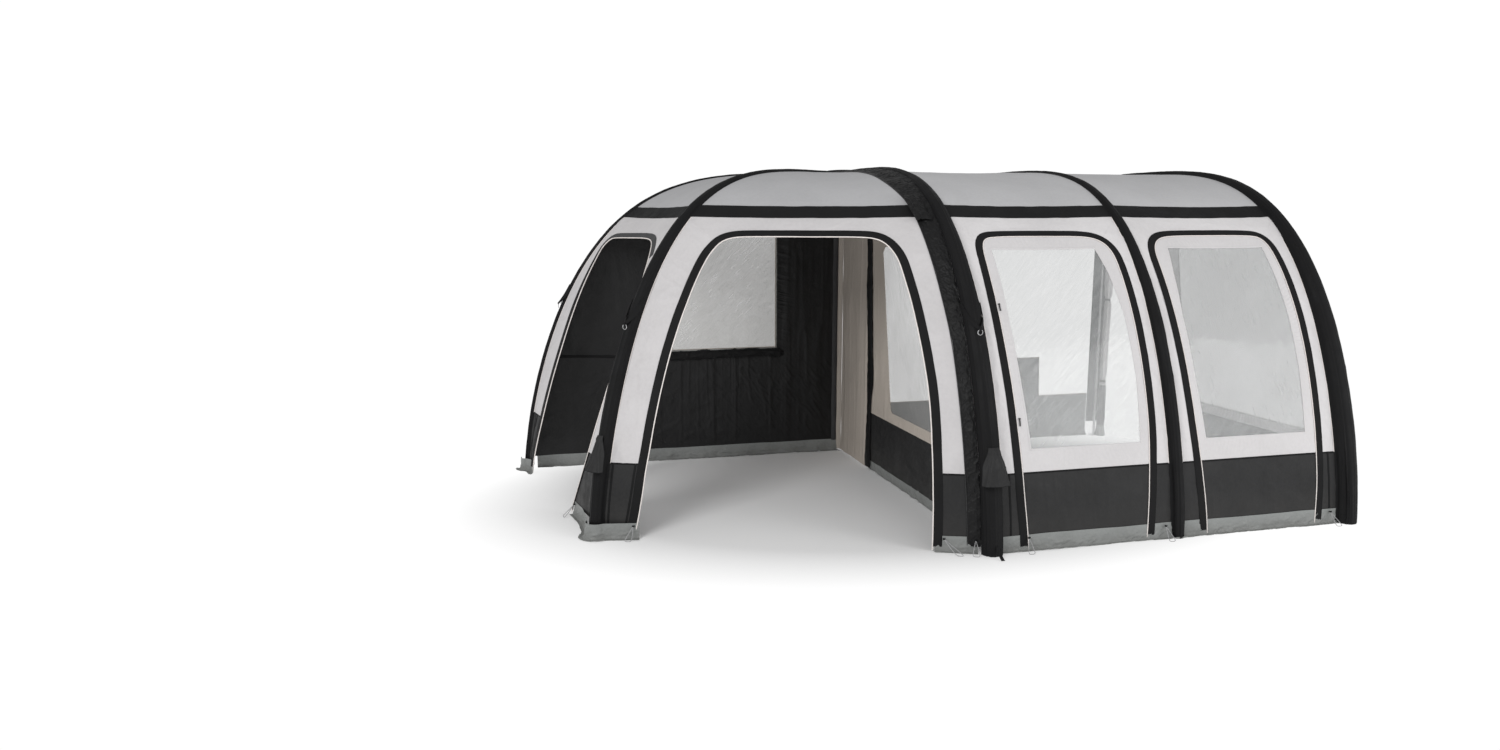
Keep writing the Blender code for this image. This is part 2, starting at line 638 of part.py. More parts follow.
# ------------------------------------------------------------------ rear uprights and the sealing pad
def upright(side, x, y, plate):
    """A telescopic steel upright: lower tube on a foot plate, upper tube that slides in it."""
    outer_r, inner_r, wall = 0.0125, 0.0105, 0.0010
    height = 1.500
    bm = bmesh.new()
    x0, x1, y0, y1 = plate
    box(bm, Vector(((x0 + x1) / 2, (y0 + y1) / 2, 0.003)), (x1 - x0, y1 - y0, 0.006))
    lower = add("upright_lower_" + side, bm, "steel")
    bm = bmesh.new()
    cylinder(bm, Vector((x, y, 0.004 + height / 2)), (0, 0, 1), outer_r, height, 12)
    cylinder_helper = add("upright_tube_shape_" + side, bm, "steel")
    union(lower, cylinder_helper)
    bm = bmesh.new()
    cylinder(bm, Vector((x, y, 0.010 + height / 2 + 0.05)), (0, 0, 1), outer_r - wall, height + 0.1, 12)
    bore = add("upright_bore_shape_" + side, bm, "steel")
    bore.hide_render = True
    bore.display_type = "WIRE"
    cut = lower.modifiers.new("bore", "BOOLEAN")
    cut.operation = "DIFFERENCE"
    cut.object = bore
    bm = bmesh.new()
    top = 2.520
    cylinder(bm, Vector((x, y, (0.900 + top) / 2)), (0, 0, 1), inner_r, top - 0.900, 12)
    upper = add("upright_upper_" + side, bm, "steel")
    bm = bmesh.new()
    cylinder(bm, Vector((x, y, top + 0.002)), (0, 0, 1), 0.020, 0.016, 12)
    pad = add("upright_cap_shape_" + side, bm, "steel")
    union(upper, pad)
    bm = bmesh.new()
    cylinder(bm, Vector((x, y, 0.850 + (top - 0.870) / 2)), (0, 0, 1), inner_r - wall, top - 0.870, 12)
    core = add("upright_core_shape_" + side, bm, "steel")
    core.hide_render = True
    core.display_type = "WIRE"
    cut = upper.modifiers.new("core", "BOOLEAN")
    cut.operation = "DIFFERENCE"
    cut.object = core


upright("left", 0.045, -0.034, (-0.025, 0.080, -0.068, 0.012))
upright("right", 2.725, -0.046, (2.690, 2.760, -0.078, -0.006))
bm = bmesh.new()
box(bm, Vector((2.725, -0.0115, 1.300)), (0.150, 0.019, 2.320))
bmesh.ops.bevel(bm, geom=[e for e in bm.edges if abs(e.verts[0].co.z - e.verts[1].co.z) > 1], offset=0.006,
                segments=2, affect="EDGES")
add("rear_pad", bm, "foam")

# ------------------------------------------------------------------ valves, their caps and their cover flaps
VALVE_Z = 0.552
for side, rib in (("fan", "B"), ("porch", "C")):
    radius = RIBS[rib][2]
    out = rib_direction(rib)
    lateral = Vector((0, 0, 1)).cross(out)
    s = s_at(VALVE_Z, 0.0)
    centre = rib_point(rib, s)
    up = (rib_point(rib, s + 0.002) - rib_point(rib, s - 0.002)).normalized()
    face = lateral.cross(up).normalized()
    if face.dot(out) < 0:
        face = -face
    root = centre + face * (radius + 0.0010)
    bm = bmesh.new()
    cylinder(bm, root + face * 0.005, face, 0.021, 0.008, 14)
    valve = add("valve_" + side, bm, "plastic")
    bm = bmesh.new()
    cylinder(bm, root + face * 0.0095, face, 0.0135, 0.006, 14)
    union(valve, add("valve_neck_shape_" + side, bm, "plastic"))
    # cap: a disc with a finger bar, turning on the valve's own axis
    where = root + face * 0.0165
    bm = bmesh.new()
    cylinder(bm, Vector((0, 0, 0)), face, 0.0175, 0.005, 14)
    cap = add("valve_cap_" + side, bm, "plastic", location=where)
    bm = bmesh.new()
    turn = Matrix((lateral, up, face)).transposed().to_4x4()
    box(bm, where + face * 0.0040, (0.022, 0.005, 0.005), turn)
    union(cap, add("valve_cap_bar_shape_" + side, bm, "plastic"))
    # cover flap: a flaring half skirt hung from its upper edge
    z_top = 0.705
    hinge_s = s_at(z_top, 0.0)
    head = rib_point(rib, hinge_s)
    hinge = head + out * (radius + 0.006)
    made = []
    for i in range(4):
        f = i / 3
        z = z_top - 0.235 * f
        axis_point = rib_point(rib, s_at(z, 0.0))
        ring = radius + 0.0060 + 0.050 * f
        row = []
        for j in range(9):
            t = math.radians(-52 + 104 * j / 8)
            row.append(axis_point + ring * (math.cos(t) * out + math.sin(t) * lateral) - hinge)
        made.append(row)
    bm = bmesh.new()
    grid = [[bm.verts.new(p) for p in row] for row in made]
    for i in range(3):
        for j in range(8):
            bm.faces.new((grid[i][j], grid[i][j + 1], grid[i + 1][j + 1], grid[i + 1][j]))
    bmesh.ops.recalc_face_normals(bm, faces=bm.faces)
    cover = add("valve_cover_" + side, bm, "dark_cloth", location=hinge)
    thick = cover.modifiers.new("thickness", "SOLIDIFY")
    thick.thickness = 0.003
    thick.offset = 0.0

# ------------------------------------------------------------------ guy rings
RING_Z = 1.450
for side, rib in (("fan_rear", "A"), ("fan_corner", "B"), ("porch_left", "C")):
    out = rib_direction(rib)
    lateral = Vector((0, 0, 1)).cross(out)
    centre = rib_point(rib, s_at(RING_Z, 0.0))
    hinge = centre + out * (RIBS[rib][2] * girth(s_at(RING_Z, 0.0)) + 0.026)
    bm = bmesh.new()
    major, minor, n, m = 0.018, 0.0024, 14, 6
    loops = []
    for i in range(n):
        t = 2 * math.pi * i / n
        spoke = math.cos(t) * lateral + math.sin(t) * Vector((0, 0, 1))
        ring_centre = Vector((0, 0, -major)) + spoke * major
        loops.append([
            bm.verts.new(ring_centre + minor * (math.cos(u) * spoke + math.sin(u) * out))
            for u in (2 * math.pi * k / m for k in range(m))
        ])
    for i in range(n):
        for k in range(m):
            a, b = (i + 1) % n, (k + 1) % m
            bm.faces.new((loops[i][k], loops[i][b], loops[a][b], loops[a][k]))
    bmesh.ops.recalc_face_normals(bm, faces=bm.faces)
    add("guy_ring_" + side, bm, "steel", location=hinge)

# ------------------------------------------------------------------ toggles at the window's edge
def toggle_frame(p, q, a, z, proud=0.014):
    """Where a toggle hangs on the skin: point, direction up the skin, outward normal."""
    s = s_at(z)
    where = skin_point(p, q, a, s, proud)
    up = (skin_point(p, q, a, s + 0.003, proud) - skin_point(p, q, a, s - 0.003, proud)).normalized()
    across = (skin_point(p, q, a + 0.004, s, proud) - skin_point(p, q, a - 0.004, s, proud)).normalized()
    return where, up, across.cross(up).normalized()


for level, a, z in (("upper", TOGGLE_A[0], 1.600), ("lower", TOGGLE_A[1], 0.860)):
    where, up, out = toggle_frame("C", "D", a, z)
    bm = bmesh.new()
    cylinder(bm, Vector((0, 0, 0)), out, 0.0065, 0.007, 12)
    toggle = add("toggle_window_" + level, bm, "plastic", location=where)
    bm = bmesh.new()
    cylinder(bm, where - up * 0.026, up, 0.0045, 0.046, 10)
    union(toggle, add("toggle_bar_shape_" + level, bm, "plastic"))

# ------------------------------------------------------------------ zip sliders on the two cross-wall doors
for side, x, face in (("partition", 0.0, -1), ("end_wall", PORCH_WIDTH, 1)):
    where = Vector((x + face * 0.0060, DOOR_FRONT - 0.003, 0.560))
    bm = bmesh.new()
    box(bm, Vector((0, 0, 0)), (0.0055, 0.012, 0.018))
    slider = add("zip_slider_" + side, bm, "steel", location=where)
    bm = bmesh.new()
    box(bm, where + Vector((face * 0.0045, 0, -0.016)), (0.0040, 0.008, 0.042))
    union(slider, add("zip_pull_shape_" + side, bm, "steel"))

# ------------------------------------------------------------------ pegging straps
def strap(name, start, out, length=0.085):
    lateral = Vector((0, 0, 1)).cross(out).normalized()
    rows = []
    for d, z in ((0.0, 0.052), (0.030, 0.034), (0.060, 0.012), (length, 0.0040)):
        rows.append([Vector(start) + out * d + lateral * w + Vector((0, 0, z)) for w in (-0.011, 0.011)])
    return grid_object(name, rows, "plastic", 0.003)


strap("peg_strap_porch_corner", (0.0, RIBS["C"][1][1] - R_MAIN - 0.004, 0), Vector((0, -1, 0)), 0.075)
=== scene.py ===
"""Looks of an inflatable caravan awning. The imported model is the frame; each soft part is made again here as cloth."""

import math

import bmesh
import bpy
import numpy as np
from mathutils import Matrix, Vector


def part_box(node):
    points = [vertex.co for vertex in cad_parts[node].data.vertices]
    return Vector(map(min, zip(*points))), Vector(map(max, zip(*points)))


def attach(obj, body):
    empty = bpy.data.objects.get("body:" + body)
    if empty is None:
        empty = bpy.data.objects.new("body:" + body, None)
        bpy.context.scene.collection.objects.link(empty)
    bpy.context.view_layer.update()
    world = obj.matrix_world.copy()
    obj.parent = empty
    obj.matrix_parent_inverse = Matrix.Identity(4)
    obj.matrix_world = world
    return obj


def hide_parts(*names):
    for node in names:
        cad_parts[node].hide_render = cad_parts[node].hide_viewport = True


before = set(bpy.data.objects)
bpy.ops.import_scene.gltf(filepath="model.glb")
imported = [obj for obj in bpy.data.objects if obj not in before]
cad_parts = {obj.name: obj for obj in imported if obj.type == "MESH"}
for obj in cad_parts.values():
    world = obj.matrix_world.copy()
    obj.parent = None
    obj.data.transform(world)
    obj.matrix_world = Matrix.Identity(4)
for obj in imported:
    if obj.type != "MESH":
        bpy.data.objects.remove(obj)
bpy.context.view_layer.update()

# ------------------------------------------------------------------ camera
camera_data = bpy.data.cameras.new("camera")
camera_data.sensor_fit = "HORIZONTAL"
camera_data.sensor_width = 36.0
camera_data.lens = 23.294
camera_data.clip_end = 300.0
camera = bpy.data.objects.new("camera", camera_data)
bpy.context.scene.collection.objects.link(camera)
camera.location = (-3.02377, -8.5974, 2.1669)
camera.rotation_euler = (math.pi / 2 - 0.15851, 0.0, -0.24492)
bpy.context.scene.camera = camera
bpy.context.scene.view_settings.view_transform = "Standard"

# ------------------------------------------------------------------ the object's dimensions, as in the CAD
APEX_Z, PROFILE_R, PROFILE_Z = 2.58, 4.2, 1.5
RAIL_Y, PORCH_WIDTH, PORCH_DEPTH, FAN_REAR_REACH = -0.05, 2.82, 3.00, 2.908
FAN_CORNER = (-2.49, -2.07)
R_MAIN, R_MID, R_FAN, R_REAR, UNDER = 0.074, 0.043, 0.047, 0.021, 0.004
BAND_LOW, BAND_HIGH, DARK_TOP, FLAP_TOP, DOOR_TOP = 2.190, 2.270, 0.510, 0.100, 2.050
RIBS = {
    "A": ((0.0, RAIL_Y), (-FAN_REAR_REACH, RAIL_Y), R_REAR),
    "B": ((0.0, RAIL_Y), FAN_CORNER, R_FAN),
    "C": ((0.0, RAIL_Y), (0.0, RAIL_Y - PORCH_DEPTH), R_MAIN),
    "D": ((PORCH_WIDTH / 2, RAIL_Y), (PORCH_WIDTH / 2, RAIL_Y - PORCH_DEPTH), R_MID),
    "E": ((PORCH_WIDTH, RAIL_Y), (PORCH_WIDTH, RAIL_Y - PORCH_DEPTH), R_MAIN),
}


def profile_table(count=2001):
    t = np.linspace(0.0, math.pi / 2, count)
    reach = np.cos(t) ** (2.0 / PROFILE_R)
    height = np.sin(t) ** (2.0 / PROFILE_Z)
    reach[-1], height[0] = 0.0, 0.0
    step = np.hypot(np.diff(reach) * PORCH_DEPTH, np.diff(height) * APEX_Z)
    run = np.concatenate([[0.0], np.cumsum(step)])
    return run / run[-1], reach, height


RUN, REACH, HEIGHT = profile_table()


def s_at(z, inset=0.006):
    return np.interp(np.asarray(z, float) / (APEX_Z - inset), HEIGHT, RUN)


def z_at(s, inset=0.006):
    return (APEX_Z - inset) * np.interp(s, RUN, HEIGHT)


def s_reach(r, total):
    return float(np.interp(-r / total, -REACH, RUN))


def girth(s):
    """The ribs slim down towards the rail: their share of the full radius."""
    return np.interp(np.interp(s, RUN, HEIGHT), (0.35, 0.55, 0.65, 0.78, 0.90, 0.96, 1.0), (1.0, 0.93, 0.86, 0.76, 0.64, 0.50, 0.34))


def rib_axes(rib):
    base, foot, _ = RIBS[rib]
    flat = np.array([foot[0] - base[0], foot[1] - base[1], 0.0])
    reach = float(np.linalg.norm(flat))
    out = flat / reach
    return np.array([base[0], base[1], 0.0]), out, np.array([-out[1], out[0], 0.0]), reach


def rib_point(rib, s, inset=0.0):
    base, out, _, reach = rib_axes(rib)
    s = np.asarray(s, float)
    r = (reach - inset) * np.interp(s, RUN, REACH)
    z = (APEX_Z - inset) * np.interp(s, RUN, HEIGHT)
    return base + r[..., None] * out + z[..., None] * np.array([0.0, 0.0, 1.0])


def trio(*parts):
    """Stacks numbers and grids of any fitting shapes as the last axis."""
    return np.stack(np.broadcast_arrays(*parts), -1)


def unit(v):
    return v / np.maximum(np.linalg.norm(v, axis=-1, keepdims=True), 1e-12)


class Bay:
    """The skin between two ribs, by a across from 0 to 1 and s up from the ground to the rail."""

    def __init__(self, p, q):
        self.p, self.q = p, q

    def raw(self, a, s):
        a, s = np.broadcast_arrays(np.asarray(a, float), np.asarray(s, float))
        one = rib_point(self.p, s, UNDER)
        two = rib_point(self.q, s, UNDER)
        k = a[..., None]
        point = one * (1 - k) + two * k
        b0 = np.array([RIBS[self.p][0][0], RAIL_Y, 0.0])
        b1 = np.array([RIBS[self.q][0][0], RAIL_Y, 0.0])
        base = b0 * (1 - k) + b1 * k
        pull = 0.007 * 4 * a * (1 - a) * np.sin(math.pi * np.minimum(1.0, s * 1.05))
        return base + (point - base) * (1 - pull[..., None])

    def slopes(self, a, s):
        e = 0.002
        return (self.raw(np.add(a, e), s) - self.raw(np.subtract(a, e), s)) / (2 * e), (
            self.raw(a, np.minimum(1, np.add(s, e))) - self.raw(a, np.maximum(0, np.subtract(s, e)))
        ) / (np.minimum(1, np.add(s, e)) - np.maximum(0, np.subtract(s, e)))[..., None]

    def normal(self, a, s):
        across, up = self.slopes(a, s)
        return unit(np.cross(across, up))

    def at(self, a, s, lift=0.0):
        a, s = np.broadcast_arrays(np.asarray(a, float), np.asarray(s, float))
        return self.raw(a, s) + self.normal(a, s) * np.broadcast_to(np.asarray(lift, float), a.shape)[..., None]

    def width(self, s):
        return np.linalg.norm(rib_point(self.p, s) - rib_point(self.q, s), axis=-1)

    def shift(self, path, d):
        """Moves a path of (a, s) sideways on the skin by d metres, to the left of its direction."""
        a, s = path[:, 0], path[:, 1]
        points = self.raw(a, s)
        tangent = unit(np.gradient(points, axis=0))
        across, up = self.slopes(a, s)
        side = unit(np.cross(unit(np.cross(across, up)), tangent)) * np.asarray(d, float).reshape(-1, 1)
        aa, bb, ab = (across * across).sum(-1), (up * up).sum(-1), (across * up).sum(-1)
        ra, rb = (side * across).sum(-1), (side * up).sum(-1)
        det = np.maximum(aa * bb - ab * ab, 1e-9)
        return trio(a + (bb * ra - ab * rb) / det, np.clip(s + (aa * rb - ab * ra) / det, 0, 0.9995))


AB, BC, CD, DE = Bay("A", "B"), Bay("B", "C"), Bay("C", "D"), Bay("D", "E")


# ------------------------------------------------------------------ noise
def lattice(ix, iy, iz, seed):
    n = ((ix * 73856093) ^ (iy * 19349663) ^ (iz * 83492791) ^ (seed * 26544357)) & 0xFFFFFFFF
    n = (((n >> 16) ^ n) * 73244475) & 0xFFFFFFFF
    n = (((n >> 16) ^ n) * 73244475) & 0xFFFFFFFF
    n = (n >> 16) ^ n
    return (n & 0xFFFFFF) / 8388607.5 - 1.0


def noise(p, seed=0):
    p = np.asarray(p, float) + 311.7
    i = np.floor(p).astype(np.int64)
    f = p - i
    u = f * f * f * (f * (f * 6 - 15) + 10)
    x, y, z = i[..., 0], i[..., 1], i[..., 2]
    ux, uy, uz = u[..., 0], u[..., 1], u[..., 2]
    total = 0.0
    for dx in (0, 1):
        wx = ux if dx else 1 - ux
        for dy in (0, 1):
            wy = uy if dy else 1 - uy
            for dz in (0, 1):
                wz = uz if dz else 1 - uz
                total = total + wx * wy * wz * lattice(x + dx, y + dy, z + dz, seed)
    return total


def fbm(p, octaves=4, seed=0, gain=0.5):
    total, weight = 0.0, 1.0
    p = np.asarray(p, float)
    for k in range(octaves):
        total = total + weight * noise(p * 2.03**k, seed + 17 * k)
        weight *= gain
    return total


def creases(p, octaves=3, seed=0, gain=0.5):
    """Sharp folded ridges, from 0 to about 1."""
    total, weight, most = 0.0, 1.0, 0.0
    p = np.asarray(p, float)
    for k in range(octaves):
        total = total + weight * (1 - np.minimum(1.0, np.abs(noise(p * 2.1**k, seed + 31 * k)) * 2.6)) ** 1.6
        most += weight
        weight *= gain
    return total / most


def smooth(x, low, high):
    t = np.clip((np.asarray(x, float) - low) / (high - low), 0, 1)
    return t * t * (3 - 2 * t)


# ------------------------------------------------------------------ mesh building
def lengths(P, axis):
    step = np.linalg.norm(np.diff(P, axis=axis), axis=-1)
    pad = [(0, 0), (0, 0)]
    pad[axis] = (1, 0)
    return np.pad(np.cumsum(step, axis=axis), pad)


def grid_normals(P, closed=False):
    if closed:
        du = (np.roll(P, -1, axis=1) - np.roll(P, 1, axis=1)) / 2
    else:
        du = np.gradient(P, axis=1)
    return unit(np.cross(du, np.gradient(P, axis=0)))


def quads(rows, cols, closed, start=0):
    i, j = np.meshgrid(np.arange(rows - 1), np.arange(cols if closed else cols - 1), indexing="ij")
    k = (j + 1) % cols
    return trio(i * cols + j, i * cols + k, (i + 1) * cols + k, (i + 1) * cols + j).reshape(-1, 4) + start


def cloth(P, thick=0.0012, outward=None, closed=False, lift=None, uv=None):
    """A sheet of two layers with a rim, from a grid of points. outward is a grid of normals or one direction.
    lift moves the points along the normals. Returns points, faces, uvs and the cloth's area."""
    P = np.asarray(P, float)
    rows, cols = P.shape[:2]
    rough_normal = grid_normals(P, closed)
    if outward is None:
        outward = rough_normal
    outward = np.broadcast_to(np.asarray(outward, float), P.shape)
    if lift is not None:
        P = P + outward * np.broadcast_to(lift, P.shape[:2])[..., None]
    fine = grid_normals(P, closed)
    sign = 1.0 if (fine * outward).sum() > 0 else -1.0
    fine = fine * sign
    if uv is None:
        u = lengths(P, 1)
        v = lengths(P, 0)
        uv = trio(np.broadcast_to(u.mean(0), (rows, cols)), np.broadcast_to(v.mean(1)[:, None], (rows, cols)))
    top, low = P + fine * thick / 2, P - fine * thick / 2
    n = rows * cols
    face_top = quads(rows, cols, closed)
    face_low = quads(rows, cols, closed, n)[:, ::-1]
    if sign < 0:
        face_top, face_low = face_top[:, ::-1], face_low[:, ::-1]
    rims = []
    edge = np.arange(cols)
    loops = [(edge, True), ((rows - 1) * cols + edge, False)]
    for ring, first in loops:
        nxt = np.roll(ring, -1)
        if not closed:
            ring, nxt = ring[:-1], nxt[:-1]
        rims.append(trio(ring, ring + n, nxt + n, nxt) if first else trio(ring, nxt, nxt + n, ring + n))
    if not closed:
        side = np.arange(rows) * cols
        for ring, first in ((side, False), (side + cols - 1, True)):
            a, b = ring[:-1], ring[1:]
            rims.append(trio(a, a + n, b + n, b) if first else trio(a, b, b + n, a + n))
    rim = np.concatenate(rims)
    if sign < 0:
        rim = rim[:, ::-1]
    d1 = P[1:, 1:] - P[:-1, :-1]
    d2 = P[1:, :-1] - P[:-1, 1:]
    area = float(np.linalg.norm(np.cross(d1, d2), axis=-1).sum() / 2)
    if closed:
        e1, e2 = P[1:, 0] - P[:-1, -1], P[1:, -1] - P[:-1, 0]
        area += float(np.linalg.norm(np.cross(e1, e2), axis=-1).sum() / 2)
    span = (float(lengths(P, 1)[:, -1].max()), float(lengths(P, 0)[-1].max()))
    return {
        "v": np.concatenate([top.reshape(-1, 3), low.reshape(-1, 3)]),
        "f": np.concatenate([face_top, face_low, rim]),
        "uv": np.concatenate([uv.reshape(-1, 2)] * 2),
        "area": area,
        "span": span,
    }


def shell(P, caps=True):
    """A closed skin round a grid whose columns join up; its end rings are drawn to their middles."""
    P = np.asarray(P, float)
    if caps:
        P = np.concatenate([np.broadcast_to(P[0].mean(0), P[:1].shape), P, np.broadcast_to(P[-1].mean(0), P[:1].shape)])
    rows, cols = P.shape[:2]
    u = lengths(np.concatenate([P, P[:, :1]], 1), 1)[:, :-1]
    v = lengths(P, 0)
    uv = trio(np.broadcast_to(u.mean(0), (rows, cols)), np.broadcast_to(v.mean(1)[:, None], (rows, cols)))
    f = quads(rows, cols, True)
    centre = P.mean((0, 1)) if rows < 4 else None
    body = P[1:-1] if caps and rows > 4 else P
    normal = grid_normals(body, True)
    middle = body.mean(1, keepdims=True) if centre is None else centre
    if (normal * (body - middle)).sum() < 0:
        f = f[:, ::-1]
    return {"v": P.reshape(-1, 3), "f": f, "uv": uv.reshape(-1, 2), "area": 0.0, "span": (1, 1), "weld": caps}


def sweep(points, radius, sides=8, flat=1.0, up=None, ripple=None):
    """A round or flattened tube along points; up is the direction that flat squeezes."""
    points = np.asarray(points, float)
    tangent = unit(np.gradient(points, axis=0))
    if up is None:
        up = np.array([0.0, 0.0, 1.0]) if abs(tangent[:, 2]).mean() < 0.8 else np.array([0.0, 1.0, 0.0])
    up = np.broadcast_to(np.asarray(up, float), points.shape)
    side = unit(np.cross(tangent, up))
    up = unit(np.cross(side, tangent))
    t = 2 * math.pi * (np.arange(sides) + 0.5) / sides
    r = np.broadcast_to(np.asarray(radius, float), (len(points),))[:, None, None]
    if ripple is not None:
        r = r * (1 + ripple)[..., None]
    ring = r * (np.cos(t)[None, :, None] * side[:, None] + flat * np.sin(t)[None, :, None] * up[:, None])
    return shell(points[:, None] + ring)


def resample(points, count, keep_ends=True):
    points = np.asarray(points, float)
    run = np.concatenate([[0], np.cumsum(np.linalg.norm(np.diff(points, axis=0), axis=-1))])
    where = np.linspace(0, run[-1], count)
    return trio(*[np.interp(where, run, points[:, k]) for k in range(points.shape[1])])


def rounded(points, times=3):
    """Corner cutting that keeps the ends."""
    points = np.asarray(points, float)
    for _ in range(times):
        one = points[:-1] * 0.75 + points[1:] * 0.25
        two = points[:-1] * 0.25 + points[1:] * 0.75
        mixed = np.empty((2 * len(one), points.shape[1]))
        mixed[0::2], mixed[1::2] = one, two
        points = np.concatenate([points[:1], mixed, points[-1:]])
    return points


def piece(name, geos, mat, body="awning", replaces=(), sharp=50):
    if isinstance(geos, dict):
        geos = [geos]
    v, f, uv, n = [], [], [], 0
    for g in geos:
        v.append(g["v"])
        f.append(g["f"] + n)
        uv.append(g["uv"])
        n += len(g["v"])
    v, f, uv = np.concatenate(v), np.concatenate(f), np.concatenate(uv)
    mesh = bpy.data.meshes.new(name)
    mesh.vertices.add(len(v))
    mesh.vertices.foreach_set("co", v.astype(np.float32).ravel())
    mesh.loops.add(f.size)
    mesh.loops.foreach_set("vertex_index", f.astype(np.int32).ravel())
    mesh.polygons.add(len(f))
    mesh.polygons.foreach_set("loop_start", np.arange(0, f.size, 4, dtype=np.int32))
    layer = mesh.uv_layers.new(name="cloth")
    layer.data.foreach_set("uv", uv[f.ravel()].astype(np.float32).ravel())
    mesh.update(calc_edges=True)
    if any(g.get("weld") for g in geos):
        bm = bmesh.new()
        bm.from_mesh(mesh)
        bmesh.ops.remove_doubles(bm, verts=bm.verts, dist=1e-6)
        bmesh.ops.dissolve_degenerate(bm, edges=bm.edges, dist=1e-7)
        bm.to_mesh(mesh)
        bm.free()
    mesh.validate()
    mesh.shade_smooth()
    mesh.set_sharp_from_angle(angle=math.radians(sharp))
    mesh.materials.append(mat)
    obj = bpy.data.objects.new(name, mesh)
    bpy.context.scene.collection.objects.link(obj)
    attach(obj, body)
    if replaces:
        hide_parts(*([replaces] if isinstance(replaces, str) else replaces))
    return obj


def declare(geos):
    """Works out a flat width and height for a sheet from its measured area and spans; the result is not kept."""
    geos = [geos] if isinstance(geos, dict) else geos
    area = sum(g["area"] for g in geos)
    width = max(g["span"][0] for g in geos)
    height = max(area / width, max(g["span"][1] for g in geos))
    if area < 0.31 * width * height:
        height = area / (0.31 * width)
    if area > width * height:
        height = area / width


# ------------------------------------------------------------------ materials
class Shader:
    def __init__(self, name):
        self.mat = bpy.data.materials.new(name)
        self.mat.use_nodes = True
        self.tree = self.mat.node_tree
        self.bsdf = self.tree.nodes["Principled BSDF"]
        self.coords = None

    def node(self, kind, links=None, **values):
        made = self.tree.nodes.new(kind)
        for key, value in values.items():
            if key.startswith("p_"):
                setattr(made, key[2:], value)
            else:
                made.inputs[key.replace("_", " ")].default_value = value
        for socket, source in (links or {}).items():
            self.tree.links.new(source, made.inputs[socket])
        return made

    def place(self):
        if self.coords is None:
            self.coords = self.node("ShaderNodeTexCoord").outputs["Object"]
        return self.coords

    def mapped(self, source, scale, turn=(0, 0, 0)):
        m = self.node("ShaderNodeMapping", {"Vector": source})
        m.inputs["Scale"].default_value = scale
        m.inputs["Rotation"].default_value = turn
        return m.outputs["Vector"]

    def noise(self, scale, detail=3.0, rough=0.55, distortion=0.0, vector=None):
        n = self.node("ShaderNodeTexNoise", {"Vector": vector or self.place()})
        n.inputs["Scale"].default_value = scale
        n.inputs["Detail"].default_value = detail
        n.inputs["Roughness"].default_value = rough
        n.inputs["Distortion"].default_value = distortion
        return n.outputs["Fac"]

    def math(self, kind, a, b=None):
        n = self.node("ShaderNodeMath", p_operation=kind)
        for k, x in enumerate((a, b)):
            if x is None:
                continue
            if isinstance(x, (int, float)):
                n.inputs[k].default_value = x
            else:
                self.tree.links.new(x, n.inputs[k])
        return n.outputs[0]

    def range(self, source, low, high, to_low=0.0, to_high=1.0):
        n = self.node("ShaderNodeMapRange", {"Value": source})
        for key, value in (("From Min", low), ("From Max", high), ("To Min", to_low), ("To Max", to_high)):
            n.inputs[key].default_value = value
        return n.outputs["Result"]

    def mix(self, factor, one, two, blend="MIX"):
        n = self.node("ShaderNodeMix", p_data_type="RGBA", p_blend_type=blend)
        for key, x in ((0, factor), (6, one), (7, two)):
            if isinstance(x, (int, float)):
                n.inputs[key].default_value = x
            elif isinstance(x, tuple):
                n.inputs[key].default_value = (*x, 1.0)
            else:
                self.tree.links.new(x, n.inputs[key])
        return n.outputs[2]

    def weave(self, pitch, vector=None):
        """Two crossing sets of threads, in the piece's own flat metres."""
        uv = vector or self.node("ShaderNodeUVMap", p_uv_map="cloth").outputs["UV"]
        found = []
        for direction in ("X", "Y"):
            w = self.node("ShaderNodeTexWave", {"Vector": uv}, p_wave_type="BANDS", p_bands_direction=direction)
            w.inputs["Scale"].default_value = 0.05 / pitch * 2 * math.pi / 1.0
            w.inputs["Distortion"].default_value = 0.25
            w.inputs["Detail"].default_value = 1.0
            found.append(w.outputs["Fac"])
        return self.math("MAXIMUM", *found)

    def bump(self, height, strength, distance, before=None):
        n = self.node("ShaderNodeBump", {"Height": height})
        n.inputs["Strength"].default_value = strength
        n.inputs["Distance"].default_value = distance
        if before is not None:
            self.tree.links.new(before, n.inputs["Normal"])
        return n.outputs["Normal"]

    def link(self, source, socket):
        self.tree.links.new(source, self.bsdf.inputs[socket])

    def set(self, **values):
        for key, value in values.items():
            self.bsdf.inputs[key.replace("_", " ")].default_value = value


def shade(colour, k):
    return tuple(min(1.0, c * k) for c in colour)


